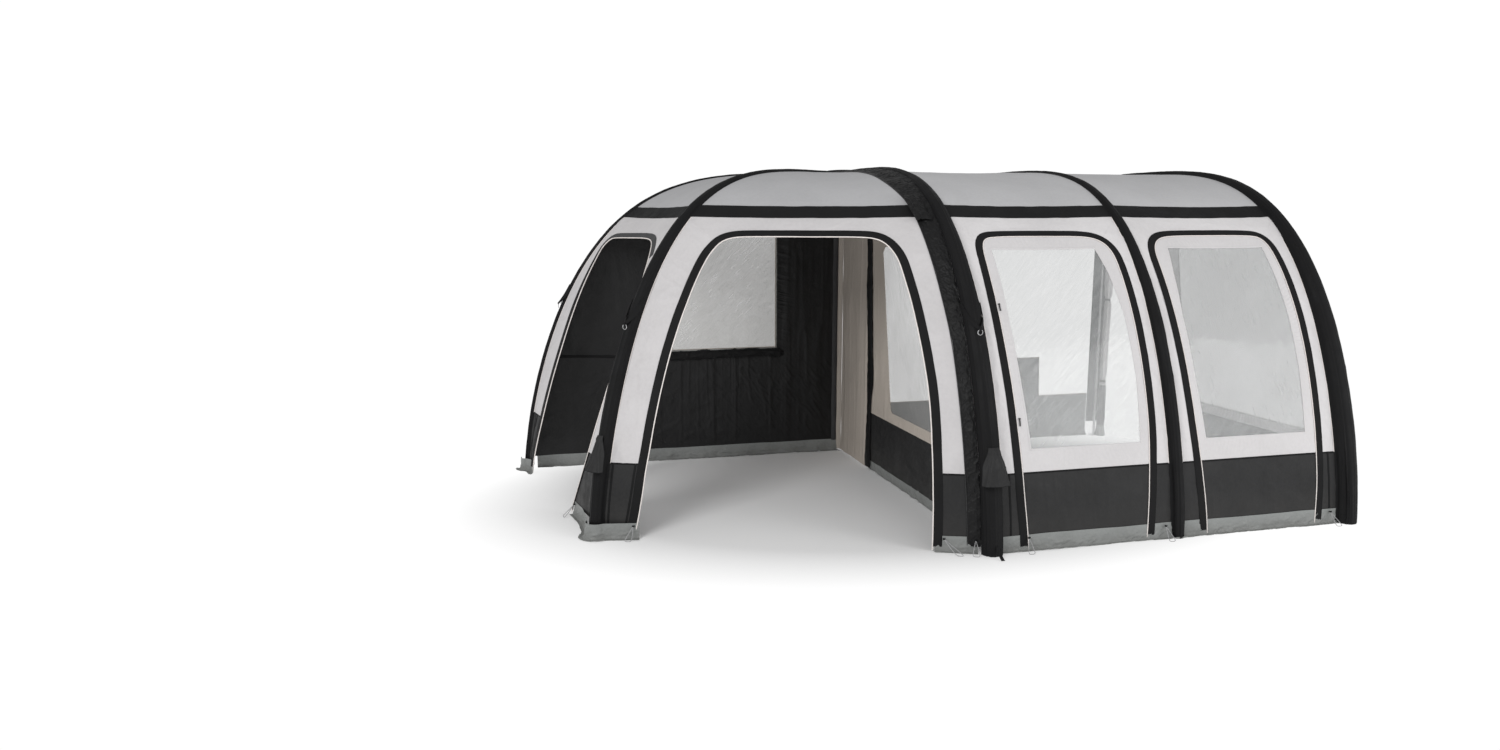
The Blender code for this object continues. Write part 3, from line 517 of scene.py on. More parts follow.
def fabric(name, colour, rough=(0.62, 0.82), weave=0.0011, weave_depth=0.25, mottle=0.06, wrinkle=0.0016, fold=(9.0, 0.35),
           sheen=0.0, fleck=0.04, stretch=(1, 1, 1), dirt=None, specular=0.30):
    """Coated woven cloth: threads, faint mottling, fine wrinkles, uneven gloss."""
    s = Shader(name)
    wide = s.noise(1.7, 4.0, 0.6, 0.4)
    fine = s.noise(46.0, 3.0, 0.6)
    tone = s.range(wide, 0.3, 0.7)
    base = s.mix(tone, shade(colour, 1 - mottle), shade(colour, 1 + mottle))
    base = s.mix(s.range(fine, 0.35, 0.65, 0.0, 1.0), base, s.mix(fleck * 4, base, shade(colour, 1.25)))
    threads = s.weave(weave)
    # the gaps between the threads are darkened a little: painted shade in the weave's hollows
    base = s.mix(s.range(threads, 0.0, 1.0, 0.10, 0.0), base, shade(colour, 0.55))
    if dirt:
        z = s.node("ShaderNodeSeparateXYZ", {"Vector": s.place()}).outputs["Z"]
        low = s.math("MULTIPLY", s.range(z, dirt[0], 0.0), s.noise(14.0, 4.0, 0.65))
        base = s.mix(low, base, dirt[1])
    s.link(base, "Base Color")
    s.link(s.range(s.noise(6.0, 4.0, 0.6), 0.3, 0.7, *rough), "Roughness")
    spread = s.mapped(s.place(), stretch)
    normal = s.bump(s.noise(fold[0], 5.0, 0.6, 0.8, spread), fold[1], wrinkle * 4)
    normal = s.bump(s.noise(fold[0] * 5.5, 3.0, 0.6, 0.3, spread), fold[1] * 0.5, wrinkle, normal)
    normal = s.bump(threads, weave_depth, 0.0004, normal)
    s.link(normal, "Normal")
    s.set(Sheen_Weight=sheen, Sheen_Roughness=0.5)
    s.bsdf.inputs["Specular IOR Level"].default_value = specular
    return s.mat


LIGHT = (0.56, 0.545, 0.55)
# the roof cloth is painted darker than the wall cloth: painted shade on the roof
ROOF_PAINTED_SHADE = (0.43, 0.43, 0.44)
BLACK = (0.0100, 0.0100, 0.0105)
light_cloth = fabric("light_cloth", LIGHT, mottle=0.06, fold=(7.0, 0.55), dirt=(0.62, (0.47, 0.455, 0.45)), specular=0.25)
# the porch's copy of the light cloth is painted lighter than the fan's: painted light on the porch walls
porch_painted_light_cloth = fabric("light_cloth_porch_painted_light", (0.635, 0.62, 0.625), mottle=0.06, fold=(7.0, 0.55), dirt=(0.62, (0.52, 0.50, 0.495)), specular=0.25)
roof_cloth_painted_shade = fabric("roof_cloth_painted_shade", ROOF_PAINTED_SHADE, mottle=0.05, fold=(6.0, 0.40), specular=0.25)
# the porch roof is painted lighter than the fan roof and darker than the wall cloth: painted light and painted shade
porch_roof_painted_light_and_shade = fabric("roof_cloth_porch", (0.485, 0.485, 0.495), mottle=0.05, fold=(6.0, 0.40), specular=0.25)
inner_cloth = fabric("inner_cloth", (0.48, 0.43, 0.38), mottle=0.08, fold=(8.0, 0.4), specular=0.25)
pleated_cloth = fabric("pleated_cloth", (0.60, 0.585, 0.59), mottle=0.04, fold=(12.0, 0.35), specular=0.25)
wall_cloth = fabric("wall_cloth", BLACK, rough=(0.34, 0.54), mottle=0.20, fold=(9.0, 0.7), fleck=0.05, weave=0.0013, specular=0.32)
dark_cloth = fabric("dark_cloth", BLACK, rough=(0.50, 0.74), mottle=0.14, fold=(11.0, 0.45), fleck=0.05, weave=0.0013, specular=0.10)
lower_cloth = fabric("lower_cloth", (0.024, 0.024, 0.0245), rough=(0.44, 0.66), mottle=0.16, fold=(8.0, 0.5), fleck=0.10, weave=0.0015,
                     dirt=(0.30, (0.045, 0.043, 0.041)), specular=0.16)
border_cloth = fabric("border_cloth", (0.0125, 0.0125, 0.013), rough=(0.55, 0.75), mottle=0.10, fold=(30.0, 0.3), weave=0.0010, specular=0.08)
grey_border = fabric("grey_border", (0.060, 0.060, 0.062), rough=(0.55, 0.75), mottle=0.10, fold=(30.0, 0.3), weave=0.0010, specular=0.12)
sleeve_cloth = fabric("sleeve_cloth", (0.0095, 0.0095, 0.0100), rough=(0.44, 0.64), mottle=0.16, fold=(10.0, 0.45), weave=0.0012, specular=0.10)
zip_cloth = fabric("zip_cloth", (0.0078, 0.0078, 0.0082), rough=(0.36, 0.56), mottle=0.20, fold=(26.0, 0.7), weave=0.0010, specular=0.18)
flap_cloth = fabric("flap_cloth", (0.235, 0.245, 0.24), rough=(0.34, 0.58), mottle=0.10, fold=(20.0, 0.6), weave=0.0022,
                    weave_depth=0.10, fleck=0.06, dirt=(0.10, (0.16, 0.158, 0.15)))
skirt_cloth = fabric("skirt_cloth", (0.150, 0.156, 0.152), rough=(0.42, 0.62), mottle=0.10, fold=(9.0, 0.6), weave=0.0020,
                     weave_depth=0.10, dirt=(0.10, (0.11, 0.108, 0.10)))
piping_cloth = fabric("piping_cloth", (0.80, 0.745, 0.715), rough=(0.55, 0.75), mottle=0.05, fold=(60.0, 0.3), weave=0.0008)
bead_cloth = fabric("bead_cloth", (0.52, 0.47, 0.41), rough=(0.55, 0.75), mottle=0.08, fold=(60.0, 0.3), weave=0.0008)
webbing = fabric("webbing", (0.0090, 0.0090, 0.0095), rough=(0.6, 0.8), mottle=0.15, fold=(60.0, 0.3), weave=0.0018, weave_depth=0.8, specular=0.15)


def film(name, cover=(0.03, 0.16), tint=(0.86, 0.88, 0.89), streak=(0.5, 6.0, 1.0), turn=(0, 0, 0.5)):
    """Clear window film: nearly see-through, with gloss; in streaks it is more opaque and lighter, partly real haze and
    partly painted sheen.
    """
    s = Shader(name)
    spread = s.mapped(s.mapped(s.place(), (1, 1, 1), turn), streak)
    streak_haze_and_sheen = s.noise(5.0, 3.0, 0.5, 0.3, spread)
    broad = s.noise(1.3, 3.0, 0.5, 0.4)
    fleck = s.noise(60.0, 2.0, 0.6)
    haze_and_sheen = s.math("ADD", s.range(streak_haze_and_sheen, 0.34, 0.72, 0.0, 0.55), s.range(broad, 0.36, 0.66, 0.0, 0.45))
    s.link(s.range(haze_and_sheen, 0.0, 1.0, *cover), "Alpha")
    # lighter colour where the streaks are strong: painted sheen as well as haze
    s.link(s.mix(haze_and_sheen, tint, shade(tint, 1.22)), "Base Color")
    s.link(s.range(fleck, 0.3, 0.7, 0.06, 0.14), "Roughness")
    normal = s.bump(s.noise(4.0, 3.0, 0.5, 0.6, spread), 0.35, 0.005)
    s.link(s.bump(s.noise(34.0, 3.0, 0.6), 0.20, 0.0008, normal), "Normal")
    s.bsdf.inputs["Specular IOR Level"].default_value = 0.5
    return s.mat


front_film = film("front_film", (0.27, 0.40), (0.47, 0.48, 0.48), (1.2, 1.0, 9.0), (0, 0.7, 0))
rear_film = film("rear_film", (0.42, 0.58), (0.42, 0.415, 0.40), (1.2, 1.0, 14.0), (0, 0.75, 0))
side_film = film("side_film", (0.32, 0.46), (0.44, 0.44, 0.435), (1.0, 12.0, 1.2), (0.5, 0, 0))


def hard(name, colour, rough, metal=0.0, scale=40.0, depth=0.0004, brushed=None, wear=0.15):
    s = Shader(name)
    spread = s.mapped(s.place(), brushed or (1, 1, 1))
    grain = s.noise(scale, 5.0, 0.65, 0.2, spread)
    marks = s.noise(9.0, 5.0, 0.7)
    s.link(s.mix(s.range(marks, 0.35, 0.7), shade(colour, 1 - wear), shade(colour, 1 + wear)), "Base Color")
    s.link(s.range(grain, 0.3, 0.7, rough * 0.75, rough * 1.3), "Roughness")
    s.link(s.bump(grain, 0.4, depth), "Normal")
    s.set(Metallic=metal)
    return s.mat


steel = hard("tube_steel", (0.60, 0.60, 0.61), 0.30, 1.0, 30.0, 0.0002, (90, 90, 2.0))
bright_steel = hard("ring_steel", (0.66, 0.66, 0.67), 0.22, 1.0, 240.0, 0.0001)
plastic = hard("moulded_plastic", (0.022, 0.022, 0.023), 0.42, 0.0, 420.0, 0.0002)
slider_metal = hard("slider_metal", (0.30, 0.30, 0.31), 0.35, 1.0, 300.0, 0.0001)


def cord_material():
    s = Shader("cord_braid")
    uv = s.node("ShaderNodeUVMap", p_uv_map="cloth").outputs["UV"]
    twist = s.node("ShaderNodeTexWave", {"Vector": s.mapped(uv, (1.0, 1.0, 1.0), (0, 0, 0.75))}, p_wave_type="BANDS")
    twist.inputs["Scale"].default_value = 55.0
    s.link(s.mix(twist.outputs["Fac"], (0.22, 0.22, 0.225), (0.50, 0.50, 0.51)), "Base Color")
    s.link(s.range(s.noise(80.0), 0.3, 0.7, 0.45, 0.7), "Roughness")
    s.link(s.bump(twist.outputs["Fac"], 0.7, 0.0006), "Normal")
    return s.mat


cord_braid = cord_material()

# ------------------------------------------------------------------ lines on the skin, as (a, z)
FRONT_DOOR = [(0.100, 0.0), (0.107, 0.093), (0.115, 0.267), (0.119, 0.47), (0.123, 0.607), (0.126, 0.81), (0.130, 1.01), (0.134, 1.21),
              (0.140, 1.41), (0.148, 1.615), (0.154, 1.752), (0.162, 1.89), (0.171, 1.955), (0.188, 2.018), (0.220, 2.046),
              (0.275, 2.056), (0.40, 2.058), (0.55, 2.058), (0.685, 2.056), (0.740, 2.045), (0.772, 2.013), (0.795, 1.960), (0.811, 1.89),
              (0.822, 1.764), (0.833, 1.631), (0.844, 1.435), (0.853, 1.242), (0.860, 1.049), (0.8615, 0.856), (0.861, 0.60),
              (0.860, 0.34), (0.858, 0.14), (0.857, 0.0)]
SIDE_DOOR = [(0.092, 0.0), (0.110, 0.16), (0.134, 0.30), (0.160, 0.47), (0.174, 0.60), (0.187, 0.78), (0.196, 0.96), (0.199, 1.12),
             (0.193, 1.28), (0.179, 1.45), (0.164, 1.58), (0.147, 1.71), (0.124, 1.84), (0.105, 1.91), (0.101, 1.96), (0.120, 2.004),
             (0.170, 2.024), (0.40, 2.034), (0.60, 2.038), (0.715, 2.030), (0.785, 2.003), (0.848, 1.935), (0.903, 1.83),
             (0.935, 1.72), (0.947, 1.60), (0.950, 1.40), (0.940, 1.15), (0.920, 0.975), (0.893, 0.81), (0.861, 0.64),
             (0.826, 0.467), (0.779, 0.286), (0.729, 0.118), (0.694, 0.0)]
WINDOW = [(0.190, 0.0), (0.184, 0.14), (0.173, 0.336), (0.169, 0.53), (0.165, 0.66), (0.161, 0.854), (0.157, 1.047), (0.152, 1.241),
          (0.148, 1.435), (0.147, 1.70), (0.149, 1.896), (0.157, 1.985), (0.180, 2.036), (0.230, 2.054), (0.39, 2.061), (0.60, 2.060),
          (0.735, 2.055), (0.805, 2.040), (0.850, 2.003), (0.874, 1.945), (0.881, 1.86), (0.879, 1.4), (0.870, 0.8), (0.855, 0.5),
          (0.838, 0.19), (0.830, 0.0)]


def skin_path(line, count=620, mirror=False):
    """An (a, z) line as a smooth, even path of (a, s)."""
    line = np.array(line, float)
    if mirror:
        line = trio(1 - line[::-1, 0], line[::-1, 1])
    line = rounded(line, 3)
    line[:, 0] *= 1.6
    line = resample(line, count)
    line[:, 0] /= 1.6
    return trio(line[:, 0], s_at(line[:, 1]))


# ------------------------------------------------------------------ air sleeves
def sleeve(rib, top_reach, seed, seams, gather, node):
    base, out, lateral, total = rib_axes(rib)
    radius = RIBS[rib][2]
    last = s_reach(top_reach - 0.03, total)
    rows, sides = 460, 64
    s = last * np.linspace(0, 1, rows)
    centre = rib_point(rib, s)
    along = unit(np.gradient(centre, axis=0))
    along[0] = (0, 0, 1)
    side = np.broadcast_to(np.cross([0, 0, 1.0], out), centre.shape)
    face = unit(np.cross(side, along))
    # half round, with a flat back against the skin
    t = np.concatenate([np.linspace(-math.pi / 2, math.pi / 2, 54), math.pi / 2 + math.pi * (np.arange(10) + 1) / 11])
    ring = np.cos(t)[None, :, None] * face[:, None] + np.sin(t)[None, :, None] * side[:, None]
    flat = np.maximum(np.cos(t), -0.035)[None, :, None] * face[:, None] + np.where(np.cos(t) < 0, np.sin(t) * 0.98, np.sin(t))[None, :, None] * side[:, None]
    P = centre[:, None] + radius * girth(s)[:, None, None] * flat
    back = (np.cos(t) < -0.01)[None, :]
    z = P[..., 2]
    run = (s * 4.6)[:, None]
    lift = 0.0016 * fbm(P * 5.0, 3, seed)
    wrap = trio(np.broadcast_to(run * 7.0, z.shape), np.cos(t)[None, :] * 1.2 + 0 * z, np.sin(t)[None, :] * 1.2 + 0 * z)
    lift += 0.0016 * (creases(wrap, 2, seed + 3) - 0.3) * smooth(z, 0.2, 0.9)
    # loosely gathered cloth over the foot
    folds = trio(np.broadcast_to(run * 0.9, z.shape), np.cos(t)[None, :] * 2.3 + 0 * z, np.sin(t)[None, :] * 2.3 + 0 * z)
    lift += gather * (creases(folds, 3, seed + 9) - 0.25) * smooth(z, 0.85, 0.12)
    for angle, height in seams:
        d = np.angle(np.exp(1j * (t - math.radians(angle)))) * radius
        lift += height * np.exp(-(d / 0.0045) ** 2)[None, :] - 0.4 * height * np.exp(-((d - 0.011) / 0.006) ** 2)[None, :]
    P = P + ring * np.where(back, 0.0, lift)[..., None]
    P[..., 2] = np.maximum(P[..., 2], 0.0015)
    return piece(f"sleeve_{node}", shell(P), sleeve_cloth, replaces=f"air_tube_{node}")


sleeve("A", 0.185, 11, [(20, 0.0020)], 0.004, "fan_rear")
sleeve("B", 0.185, 12, [(-40, 0.0022), (38, 0.0022)], 0.006, "fan_corner")
sleeve("C", 0.185, 13, [(-52, 0.0026), (-8, 0.0030), (40, 0.0026)], 0.010, "porch_left")
sleeve("D", 0.120, 14, [(-35, 0.0022), (35, 0.0022)], 0.006, "porch_middle")
sleeve("E", 0.120, 15, [(-40, 0.0026), (10, 0.0026), (52, 0.0026)], 0.010, "porch_right")


def web(bay, at_start, name):
    """The sewn fin that joins a sleeve's side to the skin."""
    rib = bay.p if at_start else bay.q
    radius = RIBS[rib][2]
    _, out, lateral, total = rib_axes(rib)
    s = np.linspace(0.004, s_reach(0.30 if rib in "ABC" else 0.13, total), 420)
    width = bay.width(s)
    inward = 1 if at_start else -1
    wobble = noise(trio(s * 90, 0 * s, 0 * s), 5)
    centre = rib_point(rib, s)
    side = np.broadcast_to(np.cross([0, 0, 1.0], out), centre.shape)
    face = unit(np.cross(side, unit(np.gradient(centre, axis=0))))
    probe = bay.raw(0.2 if at_start else 0.8, s[len(s) // 2:len(s) // 2 + 1])[0] - centre[len(s) // 2]
    side = side * (1.0 if float(probe @ side[0]) > 0 else -1.0)
    start = centre + (side * 0.955 + face * 0.24) * (radius * girth(s))[:, None]
    rows, normals = [], []
    skin = []
    for beside, h in ((0.0035, 0.0040), (0.0070, 0.0024), (0.010, 0.0010)):
        d = radius * girth(s) + beside
        a = d / width if at_start else 1 - d / width
        skin.append(bay.at(a, s, h + 0.0006 * wobble))
        normals.append(bay.normal(a, s))
    for share in (0.0, 0.35, 0.70):
        rows.append(start * (1 - share) + skin[0] * share)
    return cloth(np.stack(rows + skin), 0.0016, np.stack([normals[0]] * 3 + normals))


webs = [web(AB, True, "A"), web(AB, False, "B"), web(BC, True, "B"), web(CD, True, "C"), web(CD, False, "D"),
        web(DE, True, "D"), web(DE, False, "E")]
piece("sleeve_seam_fins", webs, sleeve_cloth)


def rib_piping(bay, at_start, high=None):
    """A thin pale cord sewn along a sleeve's side, on the light cloth only."""
    radius = RIBS[bay.p if at_start else bay.q][2]
    s = np.linspace(float(s_at(DARK_TOP)), float(s_at(BAND_LOW - 0.004)), 260)
    d = (radius * girth(s) + 0.0125) / bay.width(s)
    a = d if at_start else 1 - d
    return sweep(bay.at(a, s, 0.0022), 0.0022, 6, up=bay.normal(a, s))


piece("sleeve_pipings", [rib_piping(AB, True), rib_piping(AB, False), rib_piping(BC, True), rib_piping(CD, True), rib_piping(CD, False),
                         rib_piping(DE, True), rib_piping(DE, False)], piping_cloth)

# the pocket over the three upper ends, puffed and gathered
t = np.linspace(math.pi, 2 * math.pi, 61)
half = trio(np.cos(t), np.sin(t))
back = trio(np.linspace(1, -1, 24)[1:-1], np.zeros(22))
outline = np.concatenate([half, back])
rows = []
for r, z in ((0.02, 2.5775), (0.10, 2.5775), (0.163, 2.578), (0.171, 2.582), (0.173, 2.588), (0.171, 2.596), (0.164, 2.603),
             (0.150, 2.609), (0.128, 2.613), (0.09, 2.616), (0.045, 2.6175), (0.015, 2.618)):
    ring = np.concatenate([outline * r, np.full((len(outline), 1), z)], -1)
    ring[:, 1] -= 0.006
    rows.append(ring)
P = np.stack(rows)
pucker = 0.004 * (creases(trio(np.arctan2(P[..., 1], P[..., 0]) * 4.2, P[..., 2] * 6, 0 * P[..., 2]), 2, 4) - 0.3)
pucker = pucker * (P[..., 1] < -0.02)
P[..., :2] *= (1 + pucker / 0.15)[..., None]
piece("apex_pocket_cloth", shell(P), sleeve_cloth, replaces="apex_pocket")

# ------------------------------------------------------------------ roofs
GAP = 0.0016
S_BAND_LOW, S_BAND_HIGH = float(s_at(BAND_LOW)), float(s_at(BAND_HIGH))


def spans(parts):
    """Columns across one or more bays as lists of (bay, a)."""
    found = []
    for bay, a0, a1, count in parts:
        a = np.linspace(a0, a1, count + 1)
        found.append((bay, a if not found else a[1:]))
    return found


def across(parts, s, lift=0.0):
    """A grid of points with a row for each s."""
    s = np.asarray(s, float)[:, None]
    blocks, normals, shares = [], [], []
    for bay, a in spans(parts):
        blocks.append(bay.raw(a[None, :], s))
        normals.append(bay.normal(a[None, :] + 0 * s, s + 0 * a[None, :]))
        shares.append(np.broadcast_to(a[None, :], blocks[-1].shape[:2]))
    P, N, A = np.concatenate(blocks, 1), np.concatenate(normals, 1), np.concatenate(shares, 1)
    return P + N * np.broadcast_to(lift, P.shape[:2])[..., None], N, A


def roof(name, parts, s_end, node, seed, mat):
    s = np.linspace(S_BAND_HIGH - 0.002, s_end, 110)
    P, N, A = across(parts, s)
    edge = 4 * A * (1 - A)
    up = ((s - s[0]) / (s[-1] - s[0]))[:, None]
    lift = 0.0040 * fbm(P * 1.7, 3, seed) * edge
    lift = lift + 0.0026 * (creases(trio(A * 9 + 0 * up, up * 1.2 + 0 * A, 0 * A), 2, seed + 2) - 0.3) * (1 - edge * 0.6) * smooth(up, 0.0, 0.15)
    lift = lift + 0.0016 * np.sin(A * 46 + 2 * np.sin(A * 13)) * np.exp(-up * 22) * edge
    lift = np.where(up < 0.03, np.minimum(lift, 0.0), lift) - 0.0008 * (1 - smooth(up, 0.0, 0.04))
    g = cloth(P, 0.0012, N, lift=lift)
    obj = piece(name, g, mat, replaces=node)
    declare(g)
    return obj


roof("roof_cloth_fan", [(AB, 0.0, 1.0, 90), (BC, 0.0, 0.995, 110)], s_reach(0.06, 3.0), "roof_fan", 21, roof_cloth_painted_shade)
roof("roof_cloth_porch", [(CD, 0.008, 1.0, 90), (DE, 0.0, 1.0, 90)], 0.9995, "roof_porch", 22, porch_roof_painted_light_and_shade)


def band(name, parts, node, seed):
    """The dark belt, its edges drawn in a little between the ribs."""
    rows = 9
    cols = sum(len(a) for _, a in spans(parts))
    a_all = np.concatenate([a for _, a in spans(parts)])
    run = np.linspace(0, 1, cols) * 5.0
    wave_low = 0.0018 * noise(trio(run * 7, 0 * run, 0 * run), seed) + 0.0035 * 4 * a_all * (1 - a_all)
    wave_high = 0.0018 * noise(trio(run * 6, 0 * run + 4, 0 * run), seed + 1) + 0.0035 * 4 * a_all * (1 - a_all)
    blocks, normals = [], []
    start = 0
    f = np.linspace(0, 1, rows)[:, None]
    for bay, a in spans(parts):
        n = len(a)
        low = s_at(BAND_LOW - 0.002 + wave_low[start:start + n])[None, :]
        high = s_at(BAND_HIGH + 0.003 + wave_high[start:start + n])[None, :]
        s = low * (1 - f) + high * f
        aa = a[None, :] + 0 * s
        blocks.append(bay.raw(aa, s))
        normals.append(bay.normal(aa, s))
        start += n
    P, N = np.concatenate(blocks, 1), np.concatenate(normals, 1)
    lift = 0.0022 + 0.0007 * fbm(P * 16, 2, seed + 5) + 0.0009 * np.exp(-((f - 0.08) / 0.05) ** 2) + 0.0009 * np.exp(-((f - 0.92) / 0.05) ** 2)
    g = cloth(P, 0.0016, N, lift=lift)
    obj = piece(name, g, border_cloth, replaces=node)
    declare(g)


band("band_cloth_fan", [(AB, 0.0, 1.0, 180), (BC, 0.0, 0.995, 220)], "band_fan", 31)
band("band_cloth_porch", [(CD, 0.008, 1.0, 150), (DE, 0.0, 1.0, 150)], "band_porch", 33)

# the strip to the rail with its bead
x = np.linspace(0.190, 2.895, 260)
rows = []
for y, z in ((-0.160, 2.5790), (-0.130, 2.5810), (-0.100, 2.5825), (-0.070, 2.5842), (-0.045, 2.5862), (-0.025, 2.5885), (-0.0125, 2.5910)):
    rows.append(trio(x, np.full_like(x, y), np.full_like(x, z)))
P = np.stack(rows)
lift = 0.0008 * fbm(P * np.array([7, 3, 3]), 3, 41)
strip = cloth(P, 0.0022, (0, -0.3, 0.95), lift=lift)
bead = sweep(trio(x, np.full_like(x, -0.0105), 2.5915 + 0.0006 * np.sin(x * 9)), 0.0045, 10)
obj = piece("rail_strip_cloth", [strip, bead], dark_cloth, replaces="rail_strip")
declare(strip)


# ------------------------------------------------------------------ surrounds: ring of light cloth between the ribs and an opening
def outer_line(left, right, low, top):
    return np.array([(left, low), (left, top), (right, top), (right, low)], float)


def surround(name, bay, path, left, right, node, seed, tuck=0.018, corner_fold=0.0, under=0.046, mat=light_cloth):
    """path is the opening's edge as (a, s); the cloth ends under its border."""
    inner = bay.shift(path, tuck)
    inner = inner[inner[:, 1] >= s_at(DARK_TOP - 0.003)]
    cols = 420
    inner3 = bay.raw(inner[:, 0], inner[:, 1])
    run = np.concatenate([[0], np.cumsum(np.linalg.norm(np.diff(inner3, axis=0), axis=-1))])
    run /= run[-1]
    # the two mitre corners: where the path turns through 45 degrees
    z = z_at(inner[:, 1])
    top = z.max()
    corners = [run[np.argmin(np.abs(z - (top - 0.055)) + 9 * (run > 0.5))], run[np.argmin(np.abs(z - (top - 0.055)) + 9 * (run < 0.5))]]
    f = np.linspace(0, 1, cols)
    for c in corners:
        f[np.argmin(np.abs(f - c))] = c
    inner = trio(*[np.interp(f, run, inner[:, k]) for k in (0, 1)])
    top_z = BAND_LOW + 0.004
    outer = outer_line(left, right, DARK_TOP - 0.003, top_z)
    outer = trio(outer[:, 0], s_at(outer[:, 1]))
    fine = np.concatenate([outer[i] + (outer[i + 1] - outer[i]) * np.linspace(0, 1, 200, endpoint=i == 2)[:, None] for i in range(3)])
    fine3 = bay.raw(fine[:, 0], fine[:, 1])
    out_run = np.concatenate([[0], np.cumsum(np.linalg.norm(np.diff(fine3, axis=0), axis=-1))])
    out_run /= out_run[-1]
    g = np.interp(f, [0, corners[0], corners[1], 1], [0, out_run[200], out_run[400], 1])
    outer = trio(*[np.interp(g, out_run, fine[:, k]) for k in (0, 1)])
    rows = 26
    k = np.linspace(0, 1, rows)[:, None, None]
    grid = outer[None] * (1 - k) + inner[None] * k
    A, S = grid[..., 0], grid[..., 1]
    P, N = bay.raw(A, S), bay.normal(A, S)
    zz = z_at(S)
    lift = 0.0040 * fbm(P * 2.2, 3, seed) + 0.0014 * fbm(P * 9.0, 2, seed + 7)
    # soft upright folds of the hanging jambs, flatter where the cloth is pulled tight over the opening
    hang = creases(trio(P[..., 0] * 7.5, P[..., 1] * 7.5, P[..., 2] * 1.5), 3, seed + 19) - 0.3
    slack = creases(trio(P[..., 0] * 5.0 + zz * 6.5, P[..., 1] * 5.0 + zz * 3.0, zz * 3.5), 2, seed + 23) - 0.3
    beside = np.minimum(A, 1 - A) * bay.width(S) - np.where(A < 0.5, RIBS[bay.p][2], RIBS[bay.q][2]) * girth(S)
    free = smooth(beside, 0.016, 0.050) * (0.35 + 0.65 * smooth(zz, 2.05, 1.75))
    lift += (0.0105 * hang + 0.0070 * slack) * free
    # fine creases that run out from the opening's corners and pull across the jambs
    edge_d = (1 - k[..., 0]) * np.linalg.norm(P[-1] - P[0], axis=-1)[None]
    ripple = noise(trio(f[None, :] * 95 + 0 * A, 0 * A, 0 * A), seed + 11)
    lift += 0.0026 * ripple * np.exp(-np.maximum(0, edge_d - under) / 0.05)
    for c in corners:
        near = np.exp(-((f[None, :] - c) / 0.045) ** 2)
        lift += 0.0034 * near * (creases(trio((f[None, :] - c) * 120 + 0 * A, k[..., 0] * 1.4 + 0 * A, 0 * A), 2, seed + 13) - 0.3)
    if corner_fold:
        w = bay.width(S)
        d = (1 - A) * w
        diagonal = trio((zz * 1.0 + d * 1.1) * 24, (zz - d) * 2.5, 0 * A)
        lift += corner_fold * (creases(diagonal, 2, seed + 17) - 0.3) * np.exp(-np.abs(d - 0.24) / 0.06) * smooth(zz, 0.45, 0.9)
        lift *= 0.1 + 0.9 * smooth(d, 0.195, 0.235)
    lift *= np.minimum(1, k[..., 0] * 8 + 0.15)
    lift *= 0.12 + 0.88 * smooth(edge_d, under, under + 0.035)
    lift *= 0.15 + 0.85 * smooth(zz, DARK_TOP, DARK_TOP + 0.06)
    g3 = cloth(P, 0.0012, N, lift=np.where(edge_d < under, np.clip(lift, -0.002, 0.0006), lift) + 0.0002)
    obj = piece(name, g3, mat, replaces=node)
    seams = []
    for c in corners:
        j = int(np.argmin(np.abs(f - c)))
        line = grid[:, j]
        pts, nn = bay.at(line[:, 0], line[:, 1], 0.0), bay.normal(line[:, 0], line[:, 1])
        heights = lift[:, j]
        tangent = unit(np.gradient(pts, axis=0))
        width = unit(np.cross(nn, tangent))
        strips = [pts + nn * (heights + h)[:, None] + width * d for d, h in ((-0.0055, 0.0009), (-0.0035, 0.0019), (0.0, 0.0013), (0.0035, 0.0019), (0.0055, 0.0009))]
        seams.append(cloth(np.stack(strips)[:, 1:-1], 0.0010, np.broadcast_to(nn, (5,) + nn.shape)[:, 1:-1]))
    seam = piece(name + "_mitres", seams, mat)
    declare(g3)
    return obj


front_path = skin_path(FRONT_DOOR)
side_path = skin_path(SIDE_DOOR)
left_path = skin_path(WINDOW)
right_path = skin_path(WINDOW, mirror=True)
surround("surround_cloth_side", AB, side_path, 0.0, 0.994, "doorway_surround_side", 51, tuck=0.0012, under=0.15)
surround("surround_cloth_front", BC, front_path, 0.004, 0.990, "doorway_surround_front", 52, corner_fold=0.0026)
surround("surround_cloth_left", CD, left_path, 0.010, 0.998, "window_surround_left", 53, mat=porch_painted_light_cloth)
surround("surround_cloth_right", DE, right_path, 0.002, 0.990, "window_surround_right", 54, mat=porch_painted_light_cloth)


# ------------------------------------------------------------------ borders and piping round the openings
TOGGLES = []
for toggle in ("toggle_window_upper", "toggle_window_lower"):
    low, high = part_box(toggle)
    TOGGLES.append((np.array(low, float) + np.array(high, float)) / 2)


def calm(points, most=0.75, reach=0.075):
    """Less than 1 close to a toggle, where the cloth lies flat so that the toggle can turn."""
    share = np.ones(points.shape[:-1])
    for centre in TOGGLES:
        share = share * (1 - most * np.exp(-(np.linalg.norm(points - centre, axis=-1) / reach) ** 4))
    return share


